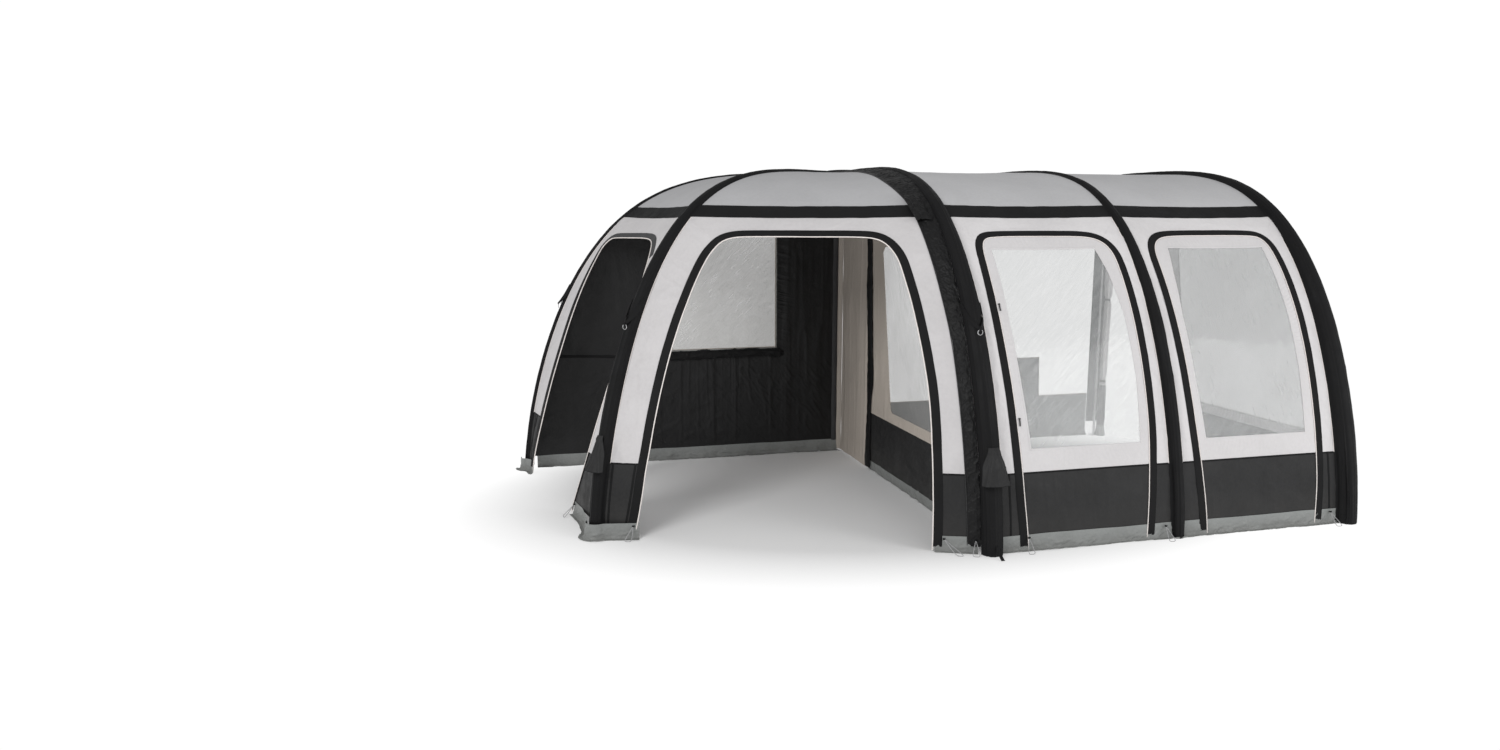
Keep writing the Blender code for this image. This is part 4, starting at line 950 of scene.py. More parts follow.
def border(name, bay, path, width, mat, seed, z_from=0.03, high=0.0030):
    use = path[z_at(path[:, 1]) >= z_from]
    if callable(width):
        width = width(z_at(use[:, 1]))
    shares = (0.0, 0.03, 0.10, 0.5, 0.90, 0.97, 1.0)
    heights = (0.0020, high, high + 0.0008, high, high + 0.0008, high, 0.0018)
    rows = []
    normals = []
    n = len(use)
    run = np.linspace(0, 6.0, n)
    waver = 0.0010 * noise(trio(run * 9, 0 * run, 0 * run), seed)
    for share, h in zip(shares, heights):
        moved = bay.shift(use, share * width + waver * share)
        lift = h + 0.0004 * noise(trio(run * 26, 0 * run + share * 3, 0 * run), seed + 3)
        lift = lift * calm(bay.at(moved[:, 0], moved[:, 1], 0.0))
        rows.append(bay.at(moved[:, 0], moved[:, 1], lift))
        normals.append(bay.normal(moved[:, 0], moved[:, 1]))
    P, N = np.stack(rows), np.stack(normals)
    return cloth(P, 0.0016, N)


def stitches(bay, path, offset, lift, z_from, radius=0.0006, pitch=0.0065):
    """A row of raised stitches along a path."""
    use = path[z_at(path[:, 1]) >= z_from]
    moved = bay.shift(use, offset)
    pts = bay.at(moved[:, 0], moved[:, 1], lift)
    total = np.linalg.norm(np.diff(pts, axis=0), axis=-1).sum()
    fine = resample(pts, int(total / pitch) * 4 + 1)
    nn = bay.normal(moved[:, 0], moved[:, 1]).mean(0)
    return fine, nn


def piping(bay, path, offset, lift, radius, z_from, seed, sides=8):
    use = path[z_at(path[:, 1]) >= z_from]
    run = np.linspace(0, 6.0, len(use))
    moved = bay.shift(use, offset + 0.0009 * noise(trio(run * 8, 0 * run, 0 * run), seed))
    near = calm(bay.at(moved[:, 0], moved[:, 1], 0.0), 0.97, 0.060)
    pts = bay.at(moved[:, 0], moved[:, 1], lift * near)
    return sweep(pts, radius * (0.4 + 0.6 * near) * (1 + 0.10 * noise(trio(run * 30, 0 * run, 0 * run), seed + 1)), sides,
                 up=bay.normal(moved[:, 0], moved[:, 1]))


piece("border_front_doorway", border("b", BC, front_path, 0.062, border_cloth, 61), border_cloth)
piece("piping_front_doorway", piping(BC, front_path, -0.001, 0.0035, 0.0042, 0.004, 62), piping_cloth)
lower_side = side_path[(z_at(side_path[:, 1]) < 1.93)]
split = z_at(side_path[:, 1])
middle = len(side_path) // 2
left_leg = side_path[:middle][split[:middle] < 1.90]
over_top = side_path[(split >= 1.885)]
right_leg = side_path[middle:][split[middle:] < DARK_TOP + 0.012]
piece("border_side_doorway", [border("b", AB, left_leg, lambda z: np.interp(z, (1.45, 1.92), (0.088, 0.051)), border_cloth, 63), border("b", AB, right_leg, 0.012, border_cloth, 64, high=0.0036)],
      border_cloth)
piece("border_side_doorway_top", border("b", AB, over_top, 0.052, grey_border, 65), grey_border)
piece("piping_side_doorway", piping(AB, side_path, -0.001, 0.0035, 0.0042, 0.004, 66), piping_cloth)
for side, bay, path, seed in (("left", CD, left_path, 67), ("right", DE, right_path, 71)):
    piece(f"border_window_{side}", border("b", bay, path, 0.056, border_cloth, seed), border_cloth)
    piece(f"piping_window_{side}", piping(bay, path, -0.002, 0.0045, 0.0032, 0.004, seed + 1), piping_cloth)


# ------------------------------------------------------------------ dark lower panels
def lower_lift(P, seed, strength=1.0):
    slant = trio(P[..., 0] * 5 + P[..., 2] * 9, P[..., 1] * 5 - P[..., 2] * 4, P[..., 2] * 2)
    upright = trio(P[..., 0] * 14, P[..., 1] * 14, P[..., 2] * 1.1)
    return strength * (0.0030 * (creases(slant, 3, seed) - 0.3) + 0.0034 * (creases(upright, 2, seed + 5) - 0.3) + 0.0012 * fbm(P * 6, 2, seed + 8))


def edge_a(path, s, left_side):
    half = path[: len(path) // 2] if left_side else path[len(path) // 2:]
    order = np.argsort(half[:, 1])
    return np.interp(s, half[order, 1], half[order, 0])


def lower(name, blocks, node, seed, seams=()):
    """blocks are (bay, left a, right a, columns), where an edge is a number or a path's side."""
    s = np.linspace(float(s_at(0.084)), float(s_at(DARK_TOP + 0.002)), 44)
    parts, normals = [], []
    for number, (bay, a0, a1, cols) in enumerate(blocks):
        e0 = a0(s) if callable(a0) else np.full_like(s, a0)
        e1 = a1(s) if callable(a1) else np.full_like(s, a1)
        f = np.linspace(0, 1, cols + 1)[None, :]
        if number:
            f = f[:, 1:]
        A = e0[:, None] * (1 - f) + e1[:, None] * f
        S = s[:, None] + 0 * A
        parts.append(bay.raw(A, S))
        normals.append(bay.normal(A, S))
    P, N = np.concatenate(parts, 1), np.concatenate(normals, 1)
    up = np.linspace(0, 1, len(s))[:, None]
    tame = np.minimum(1, (1 - up) * 6 + 0.2) * smooth(up, 0.02, 0.22)
    lift = lower_lift(P, seed) * tame - 0.0004 - 0.003 * (1 - smooth(up, 0.0, 0.10))
    g = cloth(P, 0.0014, N, lift=lift)
    obj = piece(name, g, lower_cloth, replaces=node)
    extra = []
    for bay, a_line in seams:
        a = a_line(s) if callable(a_line) else np.full_like(s, a_line)
        pts, nn = bay.raw(a, s), bay.normal(a, s)
        h = lower_lift(pts, seed) * tame[:, 0] - 0.003 * (1 - smooth(up[:, 0], 0.0, 0.10))
        tangent = unit(np.gradient(pts, axis=0))
        width = unit(np.cross(nn, tangent))
        rows = [pts + nn * (h + k)[:, None] + width * d for d, k in ((-0.007, 0.0012), (-0.0045, 0.0030), (0.0, 0.0020), (0.0045, 0.0030), (0.007, 0.0012))]
        extra.append(cloth(np.stack(rows), 0.0012, np.broadcast_to(nn, (5,) + nn.shape)))
    if extra:
        piece(name + "_seams", extra, border_cloth)
    declare(g)


lower("lower_cloth_fan_rear", [(AB, 0.0, lambda s: edge_a(side_path, s, True), 44)], "lower_panel_fan_rear", 81,
      [(AB, 0.05), (AB, lambda s: edge_a(side_path, s, True) - 0.09)])
lower("lower_cloth_fan_corner", [(AB, lambda s: edge_a(side_path, s, False), 1.0, 30), (BC, 0.0, lambda s: edge_a(front_path, s, True), 44)],
      "lower_panel_fan_corner", 82, [(BC, 0.030), (BC, lambda s: edge_a(front_path, s, True) - 0.030), (AB, 0.965)])
lower("lower_cloth_doorway_right", [(BC, lambda s: edge_a(front_path, s, False), 0.992, 44)], "lower_panel_doorway_right", 83,
      [(BC, lambda s: edge_a(front_path, s, False) + 0.021), (BC, 0.942)])
lower("lower_cloth_porch", [(CD, 0.008, 1.0, 150), (DE, 0.0, 1.0, 150)], "lower_panel_porch", 84,
      [(CD, 0.045), (CD, 0.100), (DE, 0.900), (DE, 0.955)])
# narrow hems where light cloth meets dark
hems = []
for bay, e0, e1 in ((AB, 0.0, float(edge_a(side_path, s_at(DARK_TOP), True)) - 0.01), (AB, float(edge_a(side_path, s_at(DARK_TOP), False)) + 0.01, 0.99),
                    (BC, 0.01, float(edge_a(front_path, s_at(DARK_TOP), True)) - 0.01), (BC, float(edge_a(front_path, s_at(DARK_TOP), False)) + 0.01, 0.955),
                    (CD, 0.02, 0.985), (DE, 0.015, 0.98)):
    a = np.linspace(e0, e1, 60)
    rows = [bay.at(a, s_at(DARK_TOP + d), h) for d, h in ((-0.0075, 0.0006), (-0.0055, 0.0020), (0.0, 0.0022), (0.0030, 0.0020), (0.0042, 0.0006))]
    hems.append(cloth(np.stack(rows), 0.0010, bay.normal(a, s_at(DARK_TOP) + 0 * a)[None] + np.zeros((5, 1, 1))))
piece("hems_lower", hems, border_cloth)

# ------------------------------------------------------------------ zip strip beside the porch's left rib
s = np.linspace(0.010, s_reach(0.40, 3.0), 820)
across_k = np.linspace(0, 1, 26)[:, None]
wide = np.interp(np.interp(s, RUN, HEIGHT), (0.50, 0.56, 0.63, 0.74, 0.84, 0.90, 0.96), (0.155, 0.158, 0.167, 0.176, 0.181, 0.190, 0.226))[None, :]
narrow = np.maximum(0.030, 0.072 * girth(s) - 0.003)[None, :]
d = wide * (1 - across_k) + narrow * across_k
width = BC.width(s)[None, :]
edge = 0.005 * noise(trio(s * 34, 0 * s, 0 * s), 91)[None, :] * smooth(across_k, 0.7, 0.1)
A = 1 - (d + edge) / width
S = s[None, :] + 0 * A
P, N = BC.raw(A, S), BC.normal(A, S)
run = S * 4.6
slant = trio(run * 21 + d * 14, d * 16 - run * 3, 0 * run)
small = trio(run * 52 - d * 30, d * 40 + run * 6, 0 * run)
lift = 0.003 + 0.013 * smooth(across_k, 0.0, 0.75) + 0.0085 * (creases(slant, 3, 92) - 0.25) * smooth(across_k, -0.2, 0.25)
lift += 0.0034 * (creases(small, 2, 93) - 0.25) + 0.0030 * fbm(trio(run * 6, d * 10, 0 * run), 2, 94)
g = cloth(P, 0.0016, N, lift=np.maximum(lift, 0.0012))
obj = piece("zip_strip_cloth", g, zip_cloth, replaces="zip_strip")
# the zip's coil line along the strip's outer edge
line_a = 1 - (wide[0] + 0.002) / BC.width(s)
coil = sweep(BC.at(line_a, s, 0.0035 + 0.0012 * noise(trio(s * 60, 0 * s, 0 * s), 95)), 0.0030, 6, up=BC.normal(line_a, s))
coil_piece = piece("zip_strip_coil", coil, plastic)
declare(g)

# a curled storm flap at the head of the zip
s = np.linspace(float(s_at(2.150)), float(s_at(2.325)), 40)
f = np.linspace(0, 1, 26)[:, None]
width = BC.width(s)[None, :]
d = 0.195 - 0.120 * f + 0.012 * np.sin(s * 60)[None, :] * (1 - f)
A = 1 - d / width
S = s[None, :] + 0 * A
P, N = BC.raw(A, S), BC.normal(A, S)
rise = 0.018 + 0.022 * np.sin(f * math.pi) + 0.014 * (creases(trio(S * 60, f * 3 + 0 * S, 0 * S), 2, 97) - 0.3)
rise = rise + 0.020 * (1 - smooth(f, 0.0, 0.30)) * np.sin((s - s[0]) / (s[-1] - s[0]) * math.pi)[None, :]
g = cloth(P, 0.0016, N, lift=rise)
obj = piece("zip_head_flap", g, zip_cloth)
declare(g)


# ------------------------------------------------------------------ star rings: a sheet round a hole
def ray_hit(poly, centre, angles):
    """Distance from centre to a closed polygon in each direction."""
    p0 = np.asarray(poly, float) - centre
    p1 = np.roll(p0, -1, axis=0)
    best = np.full(len(angles), np.inf)
    dx, dy = np.cos(angles), np.sin(angles)
    for a, b in zip(p0, p1):
        e = b - a
        det = dx * e[1] - dy * e[0]
        ok = np.abs(det) > 1e-12
        safe = np.where(ok, det, 1.0)
        t = (a[0] * e[1] - a[1] * e[0]) / safe
        u = (a[0] * dy - a[1] * dx) / safe
        hit = ok & (t > 0) & (u >= -1e-9) & (u <= 1 + 1e-9)
        best = np.where(hit & (t < best), t, best)
    return best


def star(outer, inner, centre, cols, rows):
    """(rows, cols, 2): from the outer outline to the hole's edge."""
    centre = np.asarray(centre, float)
    outer, inner = np.asarray(outer, float), np.asarray(inner, float)
    angles = np.linspace(-math.pi, math.pi, cols, endpoint=False)
    for poly in (outer, inner):
        turn = np.abs(np.angle(np.exp(1j * (np.arctan2(*(np.roll(poly, -1, 0) - poly).T[::-1]) - np.arctan2(*(poly - np.roll(poly, 1, 0)).T[::-1])))))
        for point in poly[turn > 0.35]:
            t = math.atan2(point[1] - centre[1], point[0] - centre[0])
            angles[np.argmin(np.abs(np.angle(np.exp(1j * (angles - t)))))] = t
    angles = np.sort(angles)
    r0, r1 = ray_hit(outer, centre, angles), ray_hit(inner, centre, angles)
    k = np.linspace(0, 1, rows)[:, None]
    r = r0 * (1 - k) + r1 * k
    return centre + trio(r * np.cos(angles), r * np.sin(angles)), r0, r1, angles


# ------------------------------------------------------------------ front windows: pleated panel and film
FILM_LOOP = [(0.224, 0.660), (0.206, 1.10), (0.196, 1.50), (0.199, 1.972), (0.785, 1.972), (0.812, 1.80), (0.836, 1.50), (0.836, 1.10), (0.816, 0.660)]
for side, bay, path, mirrored, seed in (("left", CD, left_path, False, 101), ("right", DE, right_path, True, 111)):
    loop = np.array(FILM_LOOP)
    if mirrored:
        loop = trio(1 - loop[::-1, 0], loop[::-1, 1])
    cut = path[z_at(path[:, 1]) > DARK_TOP + 0.002]
    cut = bay.shift(cut, 0.004)
    outer = trio(cut[:, 0] * 1.41, z_at(cut[:, 1]))
    inner = loop * np.array([1.41, 1.0])
    grid, r0, r1, angles = star(outer, inner, (0.70, 1.30), 720, 20)
    A, Z = grid[..., 0] / 1.41, grid[..., 1]
    S = s_at(Z)
    P, N = bay.raw(A, S), bay.normal(A, S)
    k = np.linspace(0, 1, 20)[:, None]
    ring_run = np.concatenate([[0], np.cumsum(np.linalg.norm(np.diff(P[-1], axis=0), axis=-1))])[None, :]
    phase = ring_run / 0.030 * 2 * math.pi + 2.2 * noise(trio(ring_run * 5, 0 * ring_run, 0 * ring_run), seed)
    strength = 0.5 + 0.5 * noise(trio(ring_run * 3, 0 * ring_run + 5, 0 * ring_run), seed + 1)
    pleat = np.maximum(0, np.sin(phase)) ** 1.5 * np.sin(math.pi * np.clip(k, 0, 1)) ** 0.8
    lift = 0.0010 + 0.0034 * pleat * strength + 0.0016 * fbm(P * 5, 2, seed + 2)
    lift *= np.minimum(1, k * 8) * calm(P)
    g = cloth(P, 0.0012, N, closed=True, lift=lift)
    panel = piece(f"window_cloth_{side}", g, pleated_cloth, replaces=f"window_panel_{side}")
    # hem round the film
    hem_path = np.concatenate([inner, inner[:1]])
    hem_path = resample(hem_path, 500)
    hem_as = trio(hem_path[:, 0] / 1.41, s_at(hem_path[:, 1]))
    rows, normals = [], []
    direction = 1.0 if not mirrored else 1.0
    for dd, h in ((-0.004, 0.0006), (-0.002, 0.0022), (0.005, 0.0026), (0.010, 0.0022), (0.012, 0.0006)):
        moved = bay.shift(hem_as, dd)
        rows.append(bay.at(moved[:, 0], moved[:, 1], h * calm(bay.at(moved[:, 0], moved[:, 1], 0.0))))
        normals.append(bay.normal(moved[:, 0], moved[:, 1]))
    hem = piece(f"window_hem_{side}", cloth(np.stack(rows), 0.0010, np.stack(normals)), pleated_cloth)
    declare(g)
    # film, from edge to edge
    zz = np.linspace(0.648, 1.984, 110)[:, None]
    order_l, order_r = (loop[:4], loop[4:]) if not mirrored else (loop[:5], loop[5:])
    left_a = np.interp(zz, *np.array(sorted(order_l.tolist(), key=lambda p: p[1]))[:, ::-1].T) - 0.010
    right_a = np.interp(zz, *np.array(sorted(order_r.tolist(), key=lambda p: p[1]))[:, ::-1].T) + 0.010
    f = np.linspace(0, 1, 110)[None, :]
    A = left_a * (1 - f) + right_a * f
    S = s_at(zz) + 0 * A
    P, N = bay.raw(A, S), bay.normal(A, S)
    edge = np.minimum(np.minimum(f, 1 - f) * 8, 1) * np.minimum(np.minimum((zz - 0.648), (1.984 - zz)) * 8, 1)
    lift = -0.0018 + edge * (0.0035 * fbm(P * np.array([2.0, 2.0, 1.2]), 3, seed + 4))
    g = cloth(P, 0.0006, N, lift=lift)
    obj = piece(f"window_clear_{side}", g, front_film, replaces=f"window_film_{side}")
    declare(g)


# ------------------------------------------------------------------ mud flaps
def wander(points, times=2, count=None, step=0.008):
    points = rounded(np.asarray(points, float), times)
    total = np.linalg.norm(np.diff(points, axis=0), axis=-1).sum()
    return resample(points, count or max(12, int(total / step)))


def mud_flap(name, path, node, seed, flare=0.042, top=0.104, rows=26, mat=None, deep=1.0, ends=0.0):
    """A crumpled skirt along a ground path, lying out on the ground at its foot. Its outside is right of the path's direction."""
    path = wander(path)
    along = unit(np.gradient(path, axis=0))
    out = trio(along[:, 1], -along[:, 0], 0 * along[:, 0])
    run = np.concatenate([[0], np.cumsum(np.linalg.norm(np.diff(path, axis=0), axis=-1))])[None, :]
    k = np.linspace(0, 1, rows)[:, None]
    fall = np.clip(k / 0.66, 0, 1)
    lie = smooth(k, 0.52, 1.0)
    slow = noise(trio(run * 5.5, 0 * run, 0 * run), seed)
    quick = noise(trio(run * 15, 0 * run + 3, 0 * run), seed + 1)
    reach = flare * (0.30 * fall**2 + 0.70 * lie) * (1 + 0.32 * slow * deep)
    z = (top + 0.004 * slow) * (1 - fall) ** 1.05 + 0.0030
    folds = creases(trio(run * 13 + k * 2.5, k * 2.0 + 0 * run, 0 * run), 3, seed + 5) - 0.28
    small = creases(trio(run * 34 - k * 5, k * 6.5 + 0 * run, 0 * run), 2, seed + 6) - 0.28
    hang = np.sin(np.clip(fall, 0, 1) * math.pi * 0.5)
    reach = reach + hang * (0.010 * folds + 0.0035 * small + 0.006 * quick) * deep * (1 if flare > 0 else -1)
    z = z + lie * np.maximum(0, 0.016 * folds + 0.006 * small + 0.006 * quick + 0.002) * deep
    z = z + 0.010 * smooth(k, 0.88, 1.0) * np.maximum(0, slow + 0.3 * quick) * deep
    P = path[None] + out[None] * (reach + (0.0035 if flare > 0 else -0.0035))[..., None]
    P[..., 2] = np.maximum(z, 0.0016)
    g = cloth(P, 0.0014, np.broadcast_to(out[None] * (1 if flare > 0 else -1) + np.array([0, 0, 0.6]), P.shape))
    obj = piece(name, g, mat or flap_cloth, replaces=node)
    declare(g)
    return obj


def foot_line(parts):
    found = []
    for bay, a in spans(parts):
        p = bay.raw(a, s_at(FLAP_TOP + 0.02))
        p[:, 2] = 0
        found.append(p)
    return np.concatenate(found)


def foot(rib):
    return np.array([*RIBS[rib][1], 0.0])


def round_foot(path, rib, clear=0.014):
    """Takes a foot line outside the rib's foot, towards the right of the path."""
    centre = foot(rib)
    radius = RIBS[rib][2] + clear
    path = resample(path, max(60, int(np.linalg.norm(np.diff(path, axis=0), axis=-1).sum() / 0.01)))
    along = unit(np.gradient(path, axis=0))
    out = trio(along[:, 1], -along[:, 0], 0 * along[:, 0])
    near = np.argmin(np.linalg.norm(path - centre, axis=-1))
    t, o = along[near], out[near]
    rel = path - centre
    x, y = rel @ t, rel @ o
    bump = np.sqrt(np.maximum(0, 1 - (x / (radius + 0.022)) ** 2))
    target = np.maximum(y, radius * bump - (1 - bump) * 0.2)
    inside = np.abs(x) < radius + 0.022
    moved = path.copy()
    moved[inside] = centre + np.outer(x[inside], t) + np.outer(np.maximum(y[inside], target[inside]), o)
    moved[:, 2] = 0
    return moved


rear_foot = foot("A")
rear_arc = np.array([rear_foot + 0.050 * np.array([math.cos(t), math.sin(t), 0]) for t in np.linspace(math.radians(150), math.radians(262), 9)])
mud_flap("mud_flap_cloth_fan_rear", np.concatenate([rear_arc, foot_line([(AB, 0.045, 0.105, 8)])]), "mud_flap_fan_rear", 121, flare=0.050)
one = foot_line([(AB, 0.722, 0.94, 30)])
two = foot_line([(BC, 0.0, 0.112, 40)])
centre = foot("B")
a0 = math.atan2(*(one[0] - centre)[[1, 0]])
a1 = math.atan2(*(two[-1] - centre)[[1, 0]])
while a1 < a0:
    a1 += 2 * math.pi
arc = np.array([centre + 0.069 * np.array([math.cos(t), math.sin(t), 0]) for t in np.linspace(a0 + 0.60, a1 - 0.60, 14)])
corner_path = np.concatenate([one[:16], arc, (two[-1:] + arc[-1:]) / 2, two[-1:]])
mud_flap("mud_flap_cloth_fan_corner", corner_path, "mud_flap_fan_corner", 122, flare=0.048)
mud_flap("mud_flap_cloth_doorway_right", foot_line([(BC, 0.862, 0.968, 40)]), "mud_flap_doorway_right", 123)
porch = np.concatenate([foot_line([(CD, 0.010, 1.0, 80)]), foot_line([(DE, 0.0, 0.980, 80)])[1:]])
turned = np.array([(PORCH_WIDTH, -3.000 + 2.232 * i / 8, 0) for i in range(9)])
mud_flap("mud_flap_cloth_porch", np.concatenate([porch, turned[1:]]), "mud_flap_porch", 124)

# ------------------------------------------------------------------ partition, end wall and rear wall
DOOR_REAR, DOOR_FRONT, DOOR_HIGH = -0.062, -0.760, 2.160


def wall_curve(rib, inset, z_low, z_high, count):
    s0 = float(s_at(z_high, inset)) if z_high else s_reach(0.012, rib_axes(rib)[3])
    s1 = float(s_at(z_low, inset))
    p = rib_point(rib, np.linspace(s0, s1, count + 1), inset)
    return p[:, 1:]


def wall_grid(grid, x, face, lift):
    """Points of an upright wall at x, from (y, z), moved by lift towards its face."""
    return trio(x + face * lift, grid[..., 0], grid[..., 1])


def cross_wall(prefix, rib, side, seed, cloth_mat):
    x = RIBS[rib][0][0]
    inset = 0.021
    curve = wall_curve(rib, inset, DARK_TOP + 0.004, None, 60)
    y_split = DOOR_FRONT - 0.006
    z_split = float(np.interp(-y_split, -curve[:, 0], curve[:, 1]))
    front = curve[curve[:, 0] < y_split]
    outer = np.concatenate([[(y_split, DARK_TOP + 0.004), (y_split, z_split)], front])
    low_v, high_v = 0.600, 1.950
    rear = [(-1.310, low_v), (-1.275, low_v + 0.03), (-1.040, high_v - 0.05), (-1.085, high_v)]
    window_front = wall_curve(rib, inset + 0.150, low_v + 0.04, high_v - 0.05, 30)
    inner = np.concatenate([rear, [(window_front[0][0] + 0.06, high_v)], window_front, [(window_front[-1][0] + 0.05, low_v)]])
    rows = 26
    grid, r0, r1, angles = star(outer, inner, (-1.95, 1.25), 620, rows)
    k = np.linspace(0, 1, rows)[:, None]
    Y, Z = grid[..., 0], grid[..., 1]
    edge_run = np.concatenate([[0], np.cumsum(np.linalg.norm(np.diff(grid[-1], axis=0), axis=-1))])[None, :]
    d_hole = (r0 - r1)[None, :] * (1 - k)
    folds = creases(trio(Y * 11, Z * 0.8, 0 * Y), 2, seed) - 0.3
    pleat = np.sin(edge_run / 0.034 * 2 * math.pi + 2 * noise(trio(edge_run * 6, 0 * edge_run, 0 * edge_run), seed + 2))
    lift = (0.006 * folds * smooth(d_hole, 0.0, 0.10) + 0.0022 * pleat * np.exp(-d_hole / 0.05) + 0.003 * fbm(trio(Y * 3, Z * 3, 0 * Y), 2, seed + 3)) * np.minimum(1, k * 8)
    P = wall_grid(grid, x, -side, lift)
    g = cloth(P, 0.0012, (-side, 0, 0), closed=True)
    # head above the door
    y = np.linspace(y_split, DOOR_REAR + 0.004, 60)
    low = np.full_like(y, DOOR_HIGH + 0.004)
    high = np.interp(-y, -curve[:, 0], curve[:, 1])
    f = np.linspace(0, 1, 18)[:, None]
    head = trio(np.broadcast_to(y, (18, 60)), low * (1 - f) + high * f)
    lift = 0.002 * fbm(trio(head[..., 0] * 5, head[..., 1] * 3, 0 * head[..., 0]), 2, seed + 4)
    g2 = cloth(wall_grid(head, x, -side, lift), 0.0012, (-side, 0, 0))
    panel = piece(f"{prefix}_cloth", [g, g2], cloth_mat, replaces=f"{prefix}_panel")
    declare([g, g2])
    # film
    centre = np.array((-1.95, 1.25))
    grow = centre + (inner - centre) * 1.018
    angles = np.linspace(-math.pi, math.pi, 360, endpoint=False)
    r = ray_hit(grow, centre, angles)
    k = np.linspace(1, 0.004, 60)[:, None]
    grid = centre + trio(r * k * np.cos(angles), r * k * np.sin(angles))
    Y, Z = grid[..., 0], grid[..., 1]
    near_rear = np.exp(-np.abs(Y + 1.17 + 0.17 * (1.25 - Z) * 0 + 0.0) / 0.22)
    lift = -0.0032 + (0.0045 * (creases(trio(Y * 24, Z * 1.0, 0 * Y), 2, seed + 6) - 0.3) * near_rear
                      + 0.004 * fbm(trio(Y * 3, Z * 1.5, 0 * Y), 3, seed + 7)) * np.minimum(1, (1 - k) * 10)
    g = cloth(wall_grid(grid, x, -side, lift), 0.0006, (-side, 0, 0), closed=True)
    obj = piece(f"{prefix}_clear", g, side_film, replaces=f"{prefix}_film")
    declare(g)
    # the taped edge along the rib
    s = np.linspace(float(s_at(FLAP_TOP + 0.03)), s_reach(0.06, rib_axes(rib)[3]), 320)
    rows_tape = []
    for deep, off in ((0.034, 0.0016), (0.025, 0.0034), (0.013, 0.0036), (0.004, 0.0018)):
        p = np.array(rib_point(rib, s, deep))
        p[:, 0] = x - side * (off + 0.0008 * noise(trio(s * 70, 0 * s + deep * 50, 0 * s), seed + 21))
        rows_tape.append(p)
    g = cloth(np.stack(rows_tape), 0.0014, (-side, 0, 0))
    obj = piece(f"{prefix}_edge_tape", g, border_cloth)
    declare(g)
    # dark skirt below
    low_curve = wall_curve(rib, inset, FLAP_TOP, DARK_TOP + 0.002, 24)[::-1]
    zz = np.linspace(FLAP_TOP - 0.010, DARK_TOP + 0.004, 30)[:, None]
    front_y = np.interp(zz, low_curve[:, 1], low_curve[:, 0])
    f = np.linspace(0, 1, 160)[None, :]
    Y = y_split * (1 - f) + front_y * f
    grid = trio(Y, zz + 0 * Y)
    lift = 0.006 * (creases(trio(Y * 5 + zz * 3, zz * 5 - Y, 0 * Y), 3, seed + 8) - 0.3) - 0.001
    g = cloth(wall_grid(grid, x, -side, lift), 0.0014, (-side, 0, 0))
    obj = piece(f"{prefix}_skirt_cloth", g, lower_cloth, replaces=f"{prefix}_skirt")
    declare(g)


cross_wall("partition", "C", 1, 131, inner_cloth)
cross_wall("end_wall", "E", -1, 141, light_cloth)

# the partition's door, hanging from its rear edge
y = np.linspace(DOOR_REAR, DOOR_FRONT, 110)[None, :]
z = np.linspace(0.012, DOOR_HIGH, 150)[:, None]
Y, Z = y + 0 * z, z + 0 * y
lift = 0.009 * (creases(trio(Y * 7.5 + 0.10 * np.sin(Z * 3), Z * 0.55, 0 * Y), 2, 151) - 0.3) + 0.003 * fbm(trio(Y * 3, Z * 2, 0 * Y), 2, 152)
lift = lift * np.minimum(1, np.minimum(np.abs(Y - DOOR_REAR), 0.05) / 0.05)
bow = 0.007 * np.sin(Z * 4.2 + 0.6) * smooth(-Y, 0.45, 0.76)
P = trio(0 * Y - lift, Y + bow, Z)
g = cloth(P, 0.0012, (-1, 0, 0))
obj = piece("partition_door_cloth", g, inner_cloth, body="partition_door", replaces="partition_door")
declare(g)

# a strip of the partition that closes the gap behind its hinge
z = np.linspace(0.012, 2.50, 200)
rows = []
for xx, yy in ((-0.0365, -0.0150), (-0.0280, -0.0200), (-0.0180, -0.0270), (-0.0085, -0.0380), (-0.0035, -0.0500), (-0.0022, -0.0615)):
    rows.append(trio(xx + 0.0018 * noise(trio(z * 6, 0 * z + yy * 40, 0 * z), 157), yy + 0 * z, z))
g = cloth(np.stack(rows), 0.0012, (-0.8, -0.6, 0))
obj = piece("partition_rear_edge", g, inner_cloth)
declare(g)

# the wavy zip that closes it: a dark tape on the fixed side
z = np.linspace(0.03, 2.175, 300)
wave = 0.020 * noise(trio(z * 2.9, 0 * z, 0 * z), 153) + 0.012 * np.sin(z * 4.2 + 0.6) + 0.050 * np.clip(z - 1.30, -0.25, 0.7)
half_width = 0.062 + 0.019 * noise(trio(z * 4.0, 0 * z + 7, 0 * z), 154)
rows = []
for share in np.linspace(-1, 1, 9):
    yy = -0.785 + wave + share * half_width
    xx = -0.0085 - 0.012 * (1 - share**2) - 0.003 * noise(trio(z * 22, 0 * z + share, 0 * z), 155)
    rows.append(trio(xx, yy, z))
g = cloth(np.stack(rows), 0.0016, (-1, 0, 0))
obj = piece("partition_zip_tape", g, zip_cloth)
declare(g)

# rear wall of the fan bay, seen from inside the bay
REAR_Y = -0.012


def rear_curve(z_low, count):
    s0, s1 = s_reach(0.20, FAN_REAR_REACH), float(s_at(z_low, 0.026))
    return rib_point("A", np.linspace(s0, s1, count + 1), 0.026)[:, [0, 2]]


